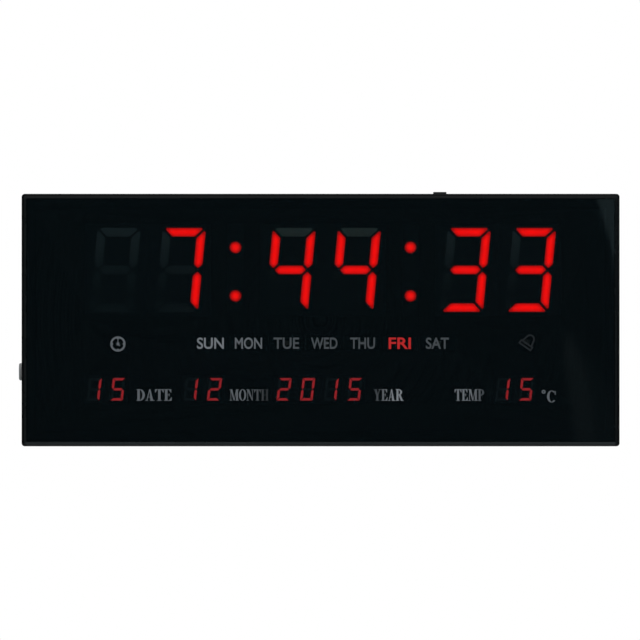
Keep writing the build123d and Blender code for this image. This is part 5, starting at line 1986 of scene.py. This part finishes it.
    def build_cards(self) -> None:
        """Cards for the glossy faces: three beside the camera, a strip above it and one at each side.

        The first shows in the panel's top right corner, and the next two are a faint shaft and its haze at
        the lower right. The strip brightens the slope of the rim's lower side. The others show in the
        polished sides.
        """
        depth = -self.camera_distance()
        high_edge = [(331, 175), (333, 147), (339, 128), (343, 113)]
        high_edge += [(348, 100), (353, 70), (357, 36), (361, -10)]
        beside = high_edge + [(900, -10), (900, 600), (331, 600)]
        low_edge = [(295, -16), (293, -48), (297, -72), (300, -93), (307, -139), (312, -175)]
        shaft = low_edge + [(331, -175), (329, -139), (325, -93), (322, -72), (316, -48), (302, -16)]
        haze = low_edge + [(480, -175), (400, -139), (359, -93), (337, -72), (325, -48), (303, -16)]
        for name, outline, y, strength, tint in (
            ("card_beside", beside, depth, self.card_strength, self.card_tint),
            ("card_shaft", shaft, depth, self.shaft_strength, self.pale_tint),
            ("card_haze", haze, depth - self.haze_behind, self.haze_strength, self.pale_tint),
        ):
            self.hang_card(name, [(x, y, z) for x, z in outline], strength, tint)
        middle = Vector(self.strip_middle)
        across = Vector((self.strip_size[0] / 2, 0, 0))
        up = across.cross(middle).normalized() * self.strip_size[1] / 2
        corners = (middle - across - up, middle + across - up, middle + across + up, middle - across + up)
        self.hang_card("card_above", corners, self.strip_strength, self.pale_tint)
        (near, far), (low, high) = self.side_card
        for name, x in (("card_left", -self.side_away), ("card_right", self.side_away)):
            corners = ((x, near, low), (x, far, low), (x, far, high), (x, near, high))
            self.hang_card(name, corners, self.side_strength, self.pale_tint)

    def hang_card(self, name: str, corners: Sequence[Sequence[float]], strength: float, tint: str) -> None:
        """Hang a dim card that only glossy faces see.

        Args:
            name: the card's name.
            corners: its outline in millimetres.
            strength: how bright it is.
            tint: its colour.
        """
        card = meshed(name, corners, [tuple(range(len(corners)))])
        material = bpy.data.materials.new(name)
        tree = emptied(material)
        glow = add_node(tree, "ShaderNodeEmission", inputs={"Color": linear(tint), "Strength": strength})
        add_node(tree, "ShaderNodeOutputMaterial", inputs={"Surface": glow.outputs[0]})
        card.data.materials.append(material)
        card.visible_camera = False
        card.visible_diffuse = False
        card.visible_shadow = False

    def camera_distance(self) -> float:
        """Return the distance from the wall at which a pixel of the picture covers its size on the rim."""
        rim = -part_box("front_frame")[0].y / MM
        return self.lens / self.sensor * self.pixels * self.pixel + rim

    def build_camera(self) -> None:
        """Long lens straight before the clock."""
        data = bpy.data.cameras.new("camera")
        data.lens = self.lens
        data.sensor_width = self.sensor
        data.clip_end = self.farthest * MM
        camera = placed("camera", data)
        camera.location = Vector((self.aim[0], -self.camera_distance(), self.aim[1])) * MM
        camera.rotation_euler = (math.pi / 2, 0, 0)
        bpy.context.scene.camera = camera


def main() -> None:
    """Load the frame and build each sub-assembly on it."""
    logging.basicConfig(level=logging.INFO, format="%(message)s")
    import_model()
    parts = (FrontCase(), TimeRow(), CalendarRow(), PanelPrint(), RearCover(), Keys(), Inside(), Studio())
    for part in parts:
        LOG.info("building %s", type(part).__name__)
        part.build()


if __name__ == "__main__":
    main()
